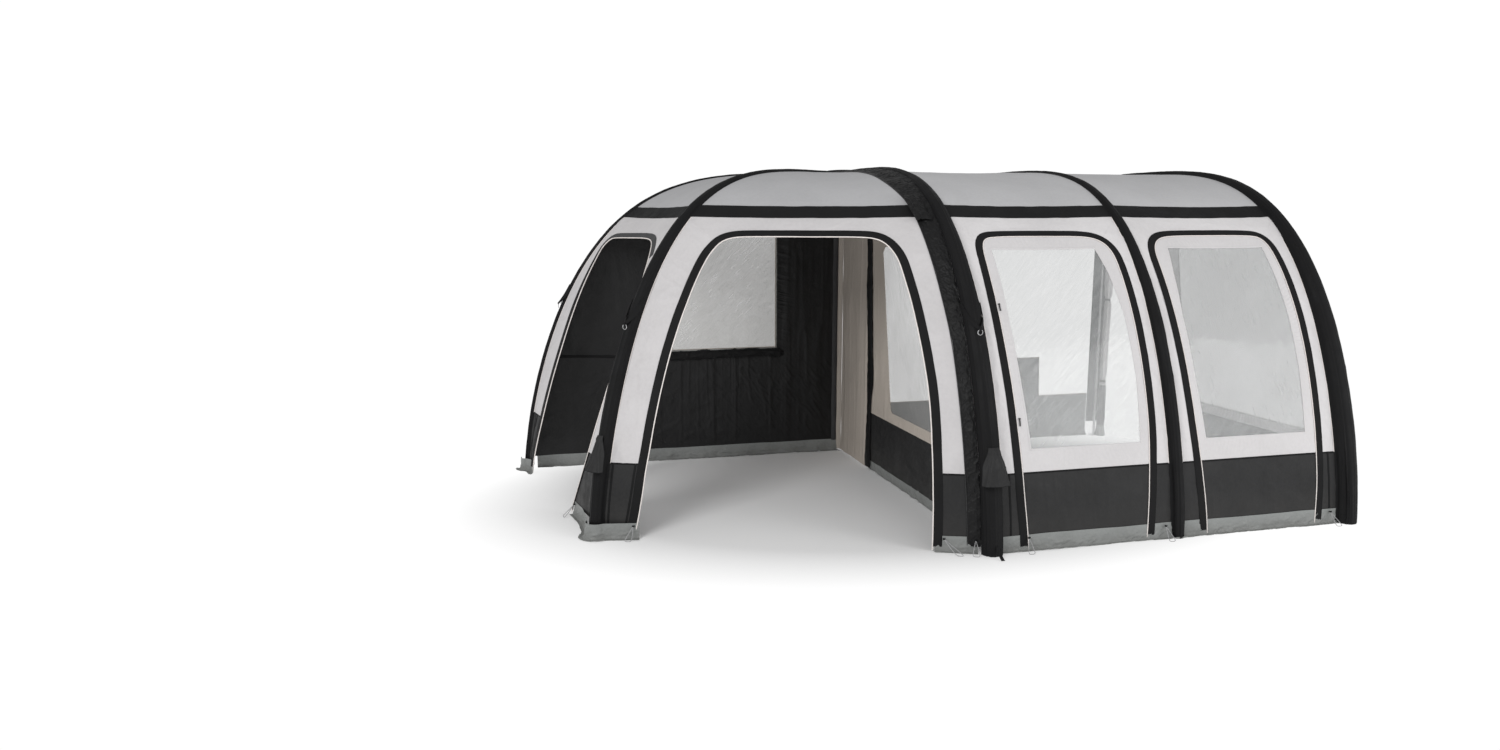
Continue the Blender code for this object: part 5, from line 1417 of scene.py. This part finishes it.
curve = rear_curve(FLAP_TOP + 0.002, 70)
outer = np.concatenate([[(-0.030, FLAP_TOP + 0.002), (-0.030, curve[0][1])], curve])
inner = np.array([(-1.60, 1.010), (-1.60, 2.100), (-0.64, 2.100), (-0.64, 1.010)])
rows = 60
grid, r0, r1, angles = star(outer, inner, (-1.12, 1.50), 900, rows)
k = np.linspace(0, 1, rows)[:, None]
X, Z = grid[..., 0], grid[..., 1]
d_right, d_low = X + 0.64, 1.01 - Z
hole = (r0 - r1)[None, :] * (1 - k)
upright_folds = creases(trio(X * 6.0, Z * 0.7, 0 * X), 3, 161) - 0.3
slants = creases(trio(X * 9 + Z * 7, Z * 6 - X * 3, 0 * X), 3, 162) - 0.3
pleats = creases(trio(X * 3, Z * 26 + X * 6, 0 * X), 2, 163) - 0.3
lift = 0.010 * upright_folds + 0.008 * slants * smooth(Z, 1.1, 0.7)
lift += 0.011 * pleats * np.exp(-np.abs(d_right - 0.05) / 0.05) * (X > -0.66)
lift += 0.003 * fbm(trio(X * 4, Z * 4, 0 * X), 2, 164)
lift = np.clip(lift, -0.004, 0.02) * np.minimum(1, k * 12) * smooth(hole, -0.01, 0.03)
P = trio(X, REAR_Y - lift, Z)
g = cloth(P, 0.0014, (0, -1, 0), closed=True)
wall = piece("rear_wall_cloth", g, wall_cloth, replaces="rear_wall")
# the rolled curtain below the rear window
x = np.linspace(-1.66, -0.56, 240)
f = np.linspace(0, 2 * math.pi, 28, endpoint=False)
swell = 0.85 + 0.25 * noise(trio(x * 9, 0 * x, 0 * x), 166)
taper = np.minimum(1, np.minimum(x + 1.665, -0.555 - x) / 0.05)
centre = trio(x, REAR_Y - 0.018 + 0 * x, 0.955 + 0.006 * np.sin(x * 5) + 0 * x)
ring = trio(0 * f, -0.015 * np.cos(f), 0.046 * np.sin(f))
P = centre[:, None] + ring[None] * (swell * (0.35 + 0.65 * taper))[:, None, None]
rough = creases(trio(x[:, None] * 7 + 0 * f, np.sin(f)[None] * 3.5 + x[:, None] * 4, np.cos(f)[None] * 2 + 0 * x[:, None]), 3, 167) - 0.3
P = P + trio(0 * f, -np.cos(f), np.sin(f))[None] * (0.009 * rough)[..., None] * np.array([1, 1, 1])
P[..., 1] = np.minimum(P[..., 1], REAR_Y - 0.0012)
roll = piece("rear_curtain_roll", shell(P), zip_cloth)
declare(g)
# film of the rear window
x = np.linspace(-1.615, -0.625, 110)[None, :]
z = np.linspace(0.995, 2.115, 110)[:, None]
X, Z = x + 0 * z, z + 0 * x
edge = np.minimum(np.minimum(x + 1.615, -0.625 - x) * 14, 1) * np.minimum(np.minimum(z - 0.995, 2.115 - z) * 14, 1)
lift = 0.0022 + edge * 0.004 * fbm(trio(X * 3 + Z * 2, Z * 3 - X * 2, 0 * X), 3, 168)
g = cloth(trio(X, REAR_Y - lift, Z), 0.0006, (0, -1, 0))
obj = piece("rear_window_clear", g, rear_film, replaces="rear_film")
declare(g)
hem = resample(np.array([(-1.60, 1.010), (-1.60, 2.100), (-0.64, 2.100), (-0.64, 1.010), (-1.60, 1.010)]), 600)
piece("rear_window_bead", sweep(trio(hem[:, 0], np.full(600, REAR_Y - 0.004), hem[:, 1]), 0.0030, 6, up=(0, -1, 0)), bead_cloth)
# the taped edge along the rear rib
s = np.linspace(float(s_at(FLAP_TOP + 0.01)), s_reach(0.20, FAN_REAR_REACH), 420)
rows = []
for deep, off in ((0.042, 0.0008), (0.030, 0.0026), (0.014, 0.0028), (0.003, 0.0014)):
    p = np.array(rib_point("A", s, deep))
    p[:, 1] = REAR_Y - off - 0.0006 * noise(trio(s * 80, 0 * s + deep * 50, 0 * s), 175)
    rows.append(p)
g = cloth(np.stack(rows), 0.0014, (0, -1, 0))
obj = piece("rear_wall_edge_tape", g, border_cloth)
declare(g)
# the level seam from the window to the rear rib
x = np.linspace(-2.735, -1.640, 200)
zz = 0.955 - 0.030 * ((x + 1.64) / 1.15) + 0.003 * np.sin(x * 7)
rows = [trio(x, REAR_Y - 0.004 - h + 0.002 * noise(trio(x * 8, 0 * x, 0 * x), 173), zz + dz) for dz, h in ((-0.011, 0.0002), (-0.008, 0.0030), (0.0, 0.0022), (0.008, 0.0030), (0.011, 0.0002))]
g = cloth(np.stack(rows), 0.0012, (0, -1, 0))
obj = piece("rear_wall_seam", g, border_cloth)
declare(g)
# the dark tube of the wall's right-hand seam, as one bowed strip
z = np.linspace(0.10, 2.46, 260)
rows = []
for share in np.linspace(0, 1, 7):
    xx = -0.085 + 0.050 * share + 0.003 * noise(trio(z * 5, 0 * z + share, 0 * z), 171)
    yy = REAR_Y - 0.006 - 0.010 * math.sin(math.pi * share) - 0.002 * noise(trio(z * 9, 0 * z + share, 0 * z), 172)
    rows.append(trio(xx, yy, z))
g = cloth(np.stack(rows), 0.0016, (0, -1, 0))
obj = piece("rear_corner_strip", g, grey_border)
declare(g)

mud_flap("mud_flap_cloth_rear", np.array([(-0.030 - 2.79 * i / 8, REAR_Y, 0) for i in range(9)]), "mud_flap_rear", 125, flare=-0.045, deep=1.2)
mud_flap("mud_flap_cloth_partition", np.array([(0.0, DOOR_FRONT - 0.008 - 2.232 * i / 8, 0) for i in range(9)][::-1]), "mud_flap_partition", 126, flare=0.030)

# ------------------------------------------------------------------ draught skirt and wheel arch cover
def hung_sheet(x0, x1, z0, z1, y0, seed, depth, lean=0.0, cols=200, rows=70, lean_right=0.0):
    x = np.linspace(x0, x1, cols)[None, :]
    z = np.linspace(0, 1, rows)[:, None]
    X = x + (lean * (1 - (x - x0) / (x1 - x0)) + lean_right * (x - x0) / (x1 - x0)) * (1 - z)
    Z = z0 + (z1 - z0) * z + 0 * x
    folds = creases(trio(X * 4.5 + Z * 1.5, Z * 1.6 - X * 0.6, 0 * X), 3, seed) - 0.3
    small = creases(trio(X * 15 - Z * 6, Z * 7, 0 * X), 2, seed + 1) - 0.3
    lift = (depth * folds + depth * 0.35 * small) * (0.25 + 0.75 * (1 - z)) + depth * 0.5
    return trio(X, y0 - np.maximum(lift, 0.0005), Z)


P = hung_sheet(0.095, 2.642, 0.006, 0.430, -0.008, 181, 0.012, cols=420)
low = (1 - np.linspace(0, 1, P.shape[0]))[:, None]
P[..., 1] -= 0.045 * smooth(low, 0.90, 1.0) * (0.6 + 0.4 * noise(trio(P[..., 0] * 6, 0 * P[..., 0], 0 * P[..., 0]), 183))
P[..., 2] = np.maximum(P[..., 2], 0.002 + 0.010 * smooth(low, 0.9, 1.0) * np.maximum(0, noise(trio(P[..., 0] * 9, 0 * P[..., 0] + 2, 0 * P[..., 0]), 184)))
g1 = cloth(P, 0.0014, (0, -1, 0))
arch_points = hung_sheet(1.235, 2.085, 0.428, 0.815, -0.0085, 185, 0.008, cols=150, lean=-0.014, lean_right=0.014)
g2 = cloth(arch_points, 0.0014, (0, -1, 0))
skirt = piece("draught_skirt_cloth", [g1, g2], skirt_cloth, replaces="draught_skirt")
line = np.array([(0.095, 0.430), (1.219, 0.430), (1.235, 0.816), (2.085, 0.816), (2.101, 0.430), (2.642, 0.430)])
line = np.concatenate([resample(line[i:i + 2], 60) for i in range(5)])
beading = piece("draught_skirt_bead", sweep(trio(line[:, 0], np.full(len(line), -0.0135), line[:, 1]), 0.0042, 8, up=(0, -1, 0)), bead_cloth)
declare([g1, g2])

# ------------------------------------------------------------------ rear pad
z = np.linspace(0.14, 2.46, 220)
f = np.linspace(0, 2 * math.pi, 44, endpoint=False)
lobes = 0.80 + 0.20 * np.abs(np.sin((z - 0.14) / 0.58 * math.pi)) ** 0.5
ends = np.minimum(1, np.minimum(z - 0.138, 2.462 - z) / 0.02) ** 0.5
cx, cy = np.cos(f), np.sin(f)
px = 0.075 * np.sign(cx) * np.abs(cx) ** 0.35
py = 0.0105 * np.sign(cy) * np.abs(cy) ** 0.6
P = trio(2.725 + px[None] * (0.985 + 0.015 * lobes[:, None]) * (0.9 + 0.1 * ends[:, None]),
              -0.0118 + py[None] * lobes[:, None] * (0.5 + 0.5 * ends[:, None]) * np.where(cy < 0, 1.35, 0.9)[None],
              np.broadcast_to(z[:, None], (220, 44)))
P = P + np.array([0, -1.0, 0]) * (0.0022 * (creases(P * np.array([22, 10, 9]), 2, 191) - 0.3) * (cy < 0)[None])[..., None]
obj = piece("rear_pad_cloth", shell(P), dark_cloth, replaces="rear_pad")

# ------------------------------------------------------------------ the end wall's door, rolled up and tied
def bundle(z0, z1, seed, count, mat, name, replaces=(), spread=1.0, drop=None):
    z = np.linspace(z0, z1, count)
    f = np.linspace(0, 2 * math.pi, 64, endpoint=False)
    tie = np.ones_like(z)
    for where in (0.56, 1.38, 2.10):
        tie *= 1 - 0.34 * np.exp(-((z - where) / 0.035) ** 2)
    rad = 0.034 * spread * tie * (0.97 + 0.05 * np.sin(z * 9))
    lobed = 0.13 * np.cos(3 * f[None] + z[:, None] * 1.3) + 0.09 * np.cos(5 * f[None] - z[:, None] * 2.2 + 1)
    rough = creases(trio(np.cos(f)[None] * 2.2 + 0 * z[:, None], np.sin(f)[None] * 2.2 + 0 * z[:, None], z[:, None] * 2.6 + 0 * f[None]), 3, seed) - 0.3
    r = rad[:, None] * (1 + lobed + 0.22 * rough)
    if drop is not None:
        r = r * drop(z)[:, None]
    P = trio(2.780 + r * np.cos(f)[None], -0.078 + r * np.sin(f)[None], np.broadcast_to(z[:, None], r.shape))
    P[..., 1] = np.minimum(P[..., 1], -0.030)
    P[..., 0] = np.minimum(P[..., 0], 2.816)
    obj = piece(name, shell(P), mat, replaces=replaces)
    return obj


bundle(0.515, 2.165, 195, 300, light_cloth, "end_door_roll_upper", "end_wall_door_roll")
bundle(0.105, 0.518, 196, 90, lower_cloth, "end_door_roll_lower", (), 0.98)
bundle(0.004, 0.112, 197, 60, flap_cloth, "end_door_roll_foot", (), 1.05, lambda z: 1 + 0.45 * smooth(z, 0.09, 0.0))
ties = []
for where in (0.56, 1.38, 2.10):
    t = np.linspace(0, 2 * math.pi, 40)
    pts = trio(2.780 + 0.0262 * np.cos(t), -0.078 + 0.0262 * np.sin(t), where + 0.004 * np.sin(t * 2))
    rows = [pts + np.array([0, 0, w]) for w in (-0.010, -0.004, 0.004, 0.010)]
    ties.append(cloth(np.stack(rows), 0.0018, None))
piece("end_door_roll_ties", ties, webbing)

# ------------------------------------------------------------------ valve covers, on their own bodies
VALVE_Z = 0.552
for side, rib, seed in (("fan", "B", 201), ("porch", "C", 205)):
    radius = RIBS[rib][2]
    _, out, lateral, _ = rib_axes(rib)
    lateral = np.cross([0, 0, 1.0], out)
    rows, cols = 40, 44
    made, normals = [], []
    for i in range(rows):
        f = i / (rows - 1)
        z = 0.706 - 0.237 * f
        axis_point = rib_point(rib, s_at(z, 0.0))
        ring = radius + 0.0075 + 0.046 * f**1.25 + 0.006 * math.exp(-((f - 0.10) / 0.06) ** 2)
        half = math.radians(27 + 25 * smooth(f, 0.0, 0.55))
        t = np.linspace(-half, half, cols)
        fold = 0.010 * np.exp(-((np.abs(t) - 0.20 - 0.45 * f) / 0.10) ** 2) * (0.35 + 0.65 * f)
        rough = 0.007 * (creases(trio(t * 2.6 + f * 1.5, 0 * t + f * 3.2, 0 * t), 3, seed) - 0.3)
        r = ring + fold + 0.0012 + np.maximum(rough * (0.3 + 0.7 * f), -0.0006)
        made.append(axis_point + r[:, None] * (np.cos(t)[:, None] * out + np.sin(t)[:, None] * lateral))
        normals.append(np.cos(t)[:, None] * out + np.sin(t)[:, None] * lateral)
    g = cloth(np.stack(made), 0.0018, np.stack(normals))
    obj = piece(f"valve_cover_cloth_{side}", g, lower_cloth, body=f"valve_cover_{side}", replaces=f"valve_cover_{side}")
    rim = np.concatenate([np.stack(made)[:, 0], np.stack(made)[-1, 1:-1], np.stack(made)[::-1, -1]])
    hem = piece(f"valve_cover_hem_{side}", sweep(resample(rim, 150), 0.0022, 6, up=out), border_cloth, body=f"valve_cover_{side}")
    declare(g)

# ------------------------------------------------------------------ guy tabs that hold the rings
for name, rib, seed in (("fan_rear", "A", 211), ("fan_corner", "B", 213), ("porch_left", "C", 215)):
    radius = RIBS[rib][2]
    _, out, _, _ = rib_axes(rib)
    lateral = np.cross([0, 0, 1.0], out)
    hinge = rib_point(rib, s_at(1.450, 0.0)) + out * (radius * float(girth(s_at(1.450, 0.0))) + 0.026)
    geos = []
    for sign in (-1, 1):
        t = np.linspace(0, 1, 30)
        z = 1.605 - 0.148 * t**0.9
        angle = sign * math.radians(84) * (1 - t) ** 0.8
        core = rib_point(rib, s_at(z, 0.0))
        r = radius * girth(s_at(z, 0.0)) + 0.004 + 0.0215 * t**2.2
        pts = core + r[:, None] * (np.cos(angle)[:, None] * out + np.sin(angle)[:, None] * lateral)
        pts = pts * (1 - t[:, None] ** 6) + (hinge + np.array([0, 0, 0.006])) * t[:, None] ** 6
        normal = np.cos(angle)[:, None] * out + np.sin(angle)[:, None] * lateral
        tangent = unit(np.gradient(pts, axis=0))
        across_dir = unit(np.cross(normal, tangent))
        half = 0.021 - 0.011 * t
        rows = [pts + across_dir * (w * half)[:, None] + normal * (0.0016 * (1 - w * w)) for w in np.linspace(-1, 1, 7)]
        geos.append(cloth(np.stack(rows), 0.0022, np.broadcast_to(normal, (7,) + normal.shape)))
    # patch on the sleeve, and the loop that the ring hangs in
    f = np.linspace(0, 1, 26)
    rows, normals = [], []
    for share in np.linspace(-1, 1, 13):
        z = 1.625 - 0.175 * f
        angle = share * math.radians(70) * (1 - 0.80 * f)
        core = rib_point(rib, s_at(z, 0.0))
        normal = np.cos(angle)[:, None] * out + np.sin(angle)[:, None] * lateral
        rows.append(core + (radius * girth(s_at(z, 0.0)) + 0.0035 + 0.0025 * f)[:, None] * normal)
        normals.append(normal)
    geos.append(cloth(np.stack(rows), 0.0018, np.stack(normals)))
    t = np.linspace(0, 2 * math.pi, 24)
    loop = hinge + np.outer(np.cos(t), out) * 0.0052 + np.outer(np.sin(t), [0, 0, 1.0]) * 0.0085 + np.array([0, 0, 0.0035])
    rows = [loop + lateral * w for w in (-0.009, -0.004, 0.004, 0.009)]
    geos.append(cloth(np.stack(rows), 0.0016, None))
    piece(f"guy_tab_{name}", geos, webbing)

# ------------------------------------------------------------------ pegging strap and pegging cords
strap_points = rounded(np.array([(0.0, -3.128, 0.070), (0.0, -3.134, 0.050), (0.0, -3.158, 0.034), (0.0, -3.185, 0.014), (0.0, -3.206, 0.005)]), 3)
strap_points = resample(strap_points, 40)
rows = [strap_points + np.array([w, 0, 0.0006 * math.cos(w * 140)]) for w in np.linspace(-0.012, 0.012, 7)]
g = cloth(np.stack(rows), 0.0022, (0, -0.6, 0.8))
piece("peg_strap_webbing", g, webbing, replaces="peg_strap_porch_corner")


def peg_loop(name, knot, ground, side, seed, length=None):
    """An elastic loop from a knot down to the ground and back."""
    knot, ground, side = (np.array(v, float) for v in (knot, ground, side))
    side = side / np.linalg.norm(side)
    pts = [knot, knot + (ground - knot) * 0.18 + side * 0.004, knot + (ground - knot) * 0.6 + side * 0.016,
           ground + side * 0.024 + np.array([0, 0, 0.004]), ground + side * 0.012 + (ground - knot) * 0.05 * np.array([1, 1, 0]),
           ground - side * 0.012 + (ground - knot) * 0.05 * np.array([1, 1, 0]), ground - side * 0.024 + np.array([0, 0, 0.004]),
           knot + (ground - knot) * 0.6 - side * 0.016, knot + (ground - knot) * 0.18 - side * 0.005, knot - side * 0.003 + np.array([0, 0, -0.002])]
    line = resample(rounded(np.array(pts), 3), 70)
    line[:, 2] = np.maximum(line[:, 2], 0.0032)
    obj = piece(name, sweep(line, 0.0022, 8, up=(0.2, 0.9, 0.3)), cord_braid)
    ends = np.concatenate([line])
    t = np.linspace(0, 4 * math.pi, 60)
    wrap = knot + trio(0.0062 * np.cos(t), 0.0062 * np.sin(t), 0.008 * (t / (4 * math.pi) - 0.5))
    knot_piece = piece(name + "_knot", sweep(wrap, 0.0032, 7), webbing)


LOOPS = [
    ("peg_loop_doorway_right", BC, 0.885, (-0.10, 0.0)),
    ("peg_loop_porch_left_a", BC, 0.962, (0.0, 0.02)),
    ("peg_loop_window_left", CD, 0.190, (0.02, 0.0)),
    ("peg_loop_porch_middle", CD, 0.930, (0.0, 0.0)),
    ("peg_loop_porch_right", DE, 0.900, (-0.01, 0.0)),
    ("peg_loop_fan_corner", BC, 0.098, (0.02, 0.0)),
    ("peg_loop_fan_corner_side", AB, 0.742, (0.0, 0.0)),
]
for name, bay, a, shift in LOOPS:
    skin = bay.raw(np.array(a), s_at(0.088))
    out = bay.normal(np.array(a), s_at(0.088)) * np.array([1, 1, 0])
    out = out / np.linalg.norm(out)
    along = np.array([-out[1], out[0], 0.0])
    knot = skin + out * 0.014
    ground = np.array([skin[0], skin[1], 0.004]) + out * 0.092 + along * shift[0] * -1
    peg_loop(name, knot, ground, along, 1)

# ------------------------------------------------------------------ hard CAD nodes
for names, mat in ((("upright_lower_left", "upright_lower_right", "upright_upper_left", "upright_upper_right"), steel),
                   (("guy_ring_fan_rear", "guy_ring_fan_corner", "guy_ring_porch_left"), bright_steel),
                   (("valve_fan", "valve_porch", "valve_cap_fan", "valve_cap_porch", "toggle_window_upper", "toggle_window_lower"), plastic),
                   (("zip_slider_partition", "zip_slider_end_wall"), slider_metal)):
    for name in names:
        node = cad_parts[name]
        node.data.materials.clear()
        node.data.materials.append(mat)

# ------------------------------------------------------------------ floor and light
floor_mesh = bpy.data.meshes.new("floor")
bm = bmesh.new()
bmesh.ops.create_grid(bm, x_segments=2, y_segments=2, size=60.0)
bm.to_mesh(floor_mesh)
bm.free()
floor = bpy.data.objects.new("floor", floor_mesh)
bpy.context.scene.collection.objects.link(floor)
s = Shader("floor")
# inside an ellipse round the awning the floor is plain diffuse and takes real shade; towards the ellipse's edge it
# fades into an even white glow. The ellipse and its fade are a painted edge for the ground shadow.
away = s.node("ShaderNodeVectorMath", {0: s.place()}, p_operation="SUBTRACT")
away.inputs[1].default_value = (-0.1, -1.3, 0.0)
share = s.node("ShaderNodeVectorMath", {0: away.outputs[0]}, p_operation="MULTIPLY")
share.inputs[1].default_value = (1 / 3.5, 1 / 2.3, 0.0)
shadow_fade_distance = s.node("ShaderNodeVectorMath", {0: share.outputs[0]}, p_operation="LENGTH").outputs["Value"]
s.set(Roughness=0.9)
s.bsdf.inputs["Base Color"].default_value = (0.86, 0.86, 0.86, 1)
s.bsdf.inputs["Specular IOR Level"].default_value = 0.1
glow = s.node("ShaderNodeEmission")
glow.inputs["Color"].default_value = (1, 1, 1, 1)
glow.inputs["Strength"].default_value = 1.02
mixed = s.node("ShaderNodeMixShader", {0: s.range(shadow_fade_distance, 0.68, 0.97)})
s.tree.links.new(s.bsdf.outputs[0], mixed.inputs[1])
s.tree.links.new(glow.outputs[0], mixed.inputs[2])
s.tree.links.new(mixed.outputs[0], s.tree.nodes["Material Output"].inputs["Surface"])
floor_mesh.materials.append(s.mat)

world = bpy.data.worlds.new("world")
bpy.context.scene.world = world
world.use_nodes = True
tree = world.node_tree
background = tree.nodes["Background"]
background.inputs["Color"].default_value = (1, 1, 1, 1)
background.inputs["Strength"].default_value = 0.54
plain = tree.nodes.new("ShaderNodeBackground")
plain.inputs["Color"].default_value = (1, 1, 1, 1)
plain.inputs["Strength"].default_value = 1.02
path = tree.nodes.new("ShaderNodeLightPath")
both = tree.nodes.new("ShaderNodeMixShader")
tree.links.new(path.outputs["Is Camera Ray"], both.inputs[0])
tree.links.new(background.outputs[0], both.inputs[1])
tree.links.new(plain.outputs[0], both.inputs[2])
tree.links.new(both.outputs[0], tree.nodes["World Output"].inputs["Surface"])


def area_light(name, place, aim, size, power):
    data = bpy.data.lights.new(name, "AREA")
    data.shape = "DISK"
    data.size = size
    data.energy = power
    light = bpy.data.objects.new(name, data)
    bpy.context.scene.collection.objects.link(light)
    light.location = place
    light.rotation_euler = (Vector(aim) - Vector(place)).to_track_quat("-Z", "Y").to_euler()


area_light("key", (-8.0, -8.5, 7.0), (-0.2, -1.5, 1.0), 5.0, 500)
area_light("fill", (6.0, -9.0, 3.5), (0.8, -1.5, 1.0), 5.0, 240)
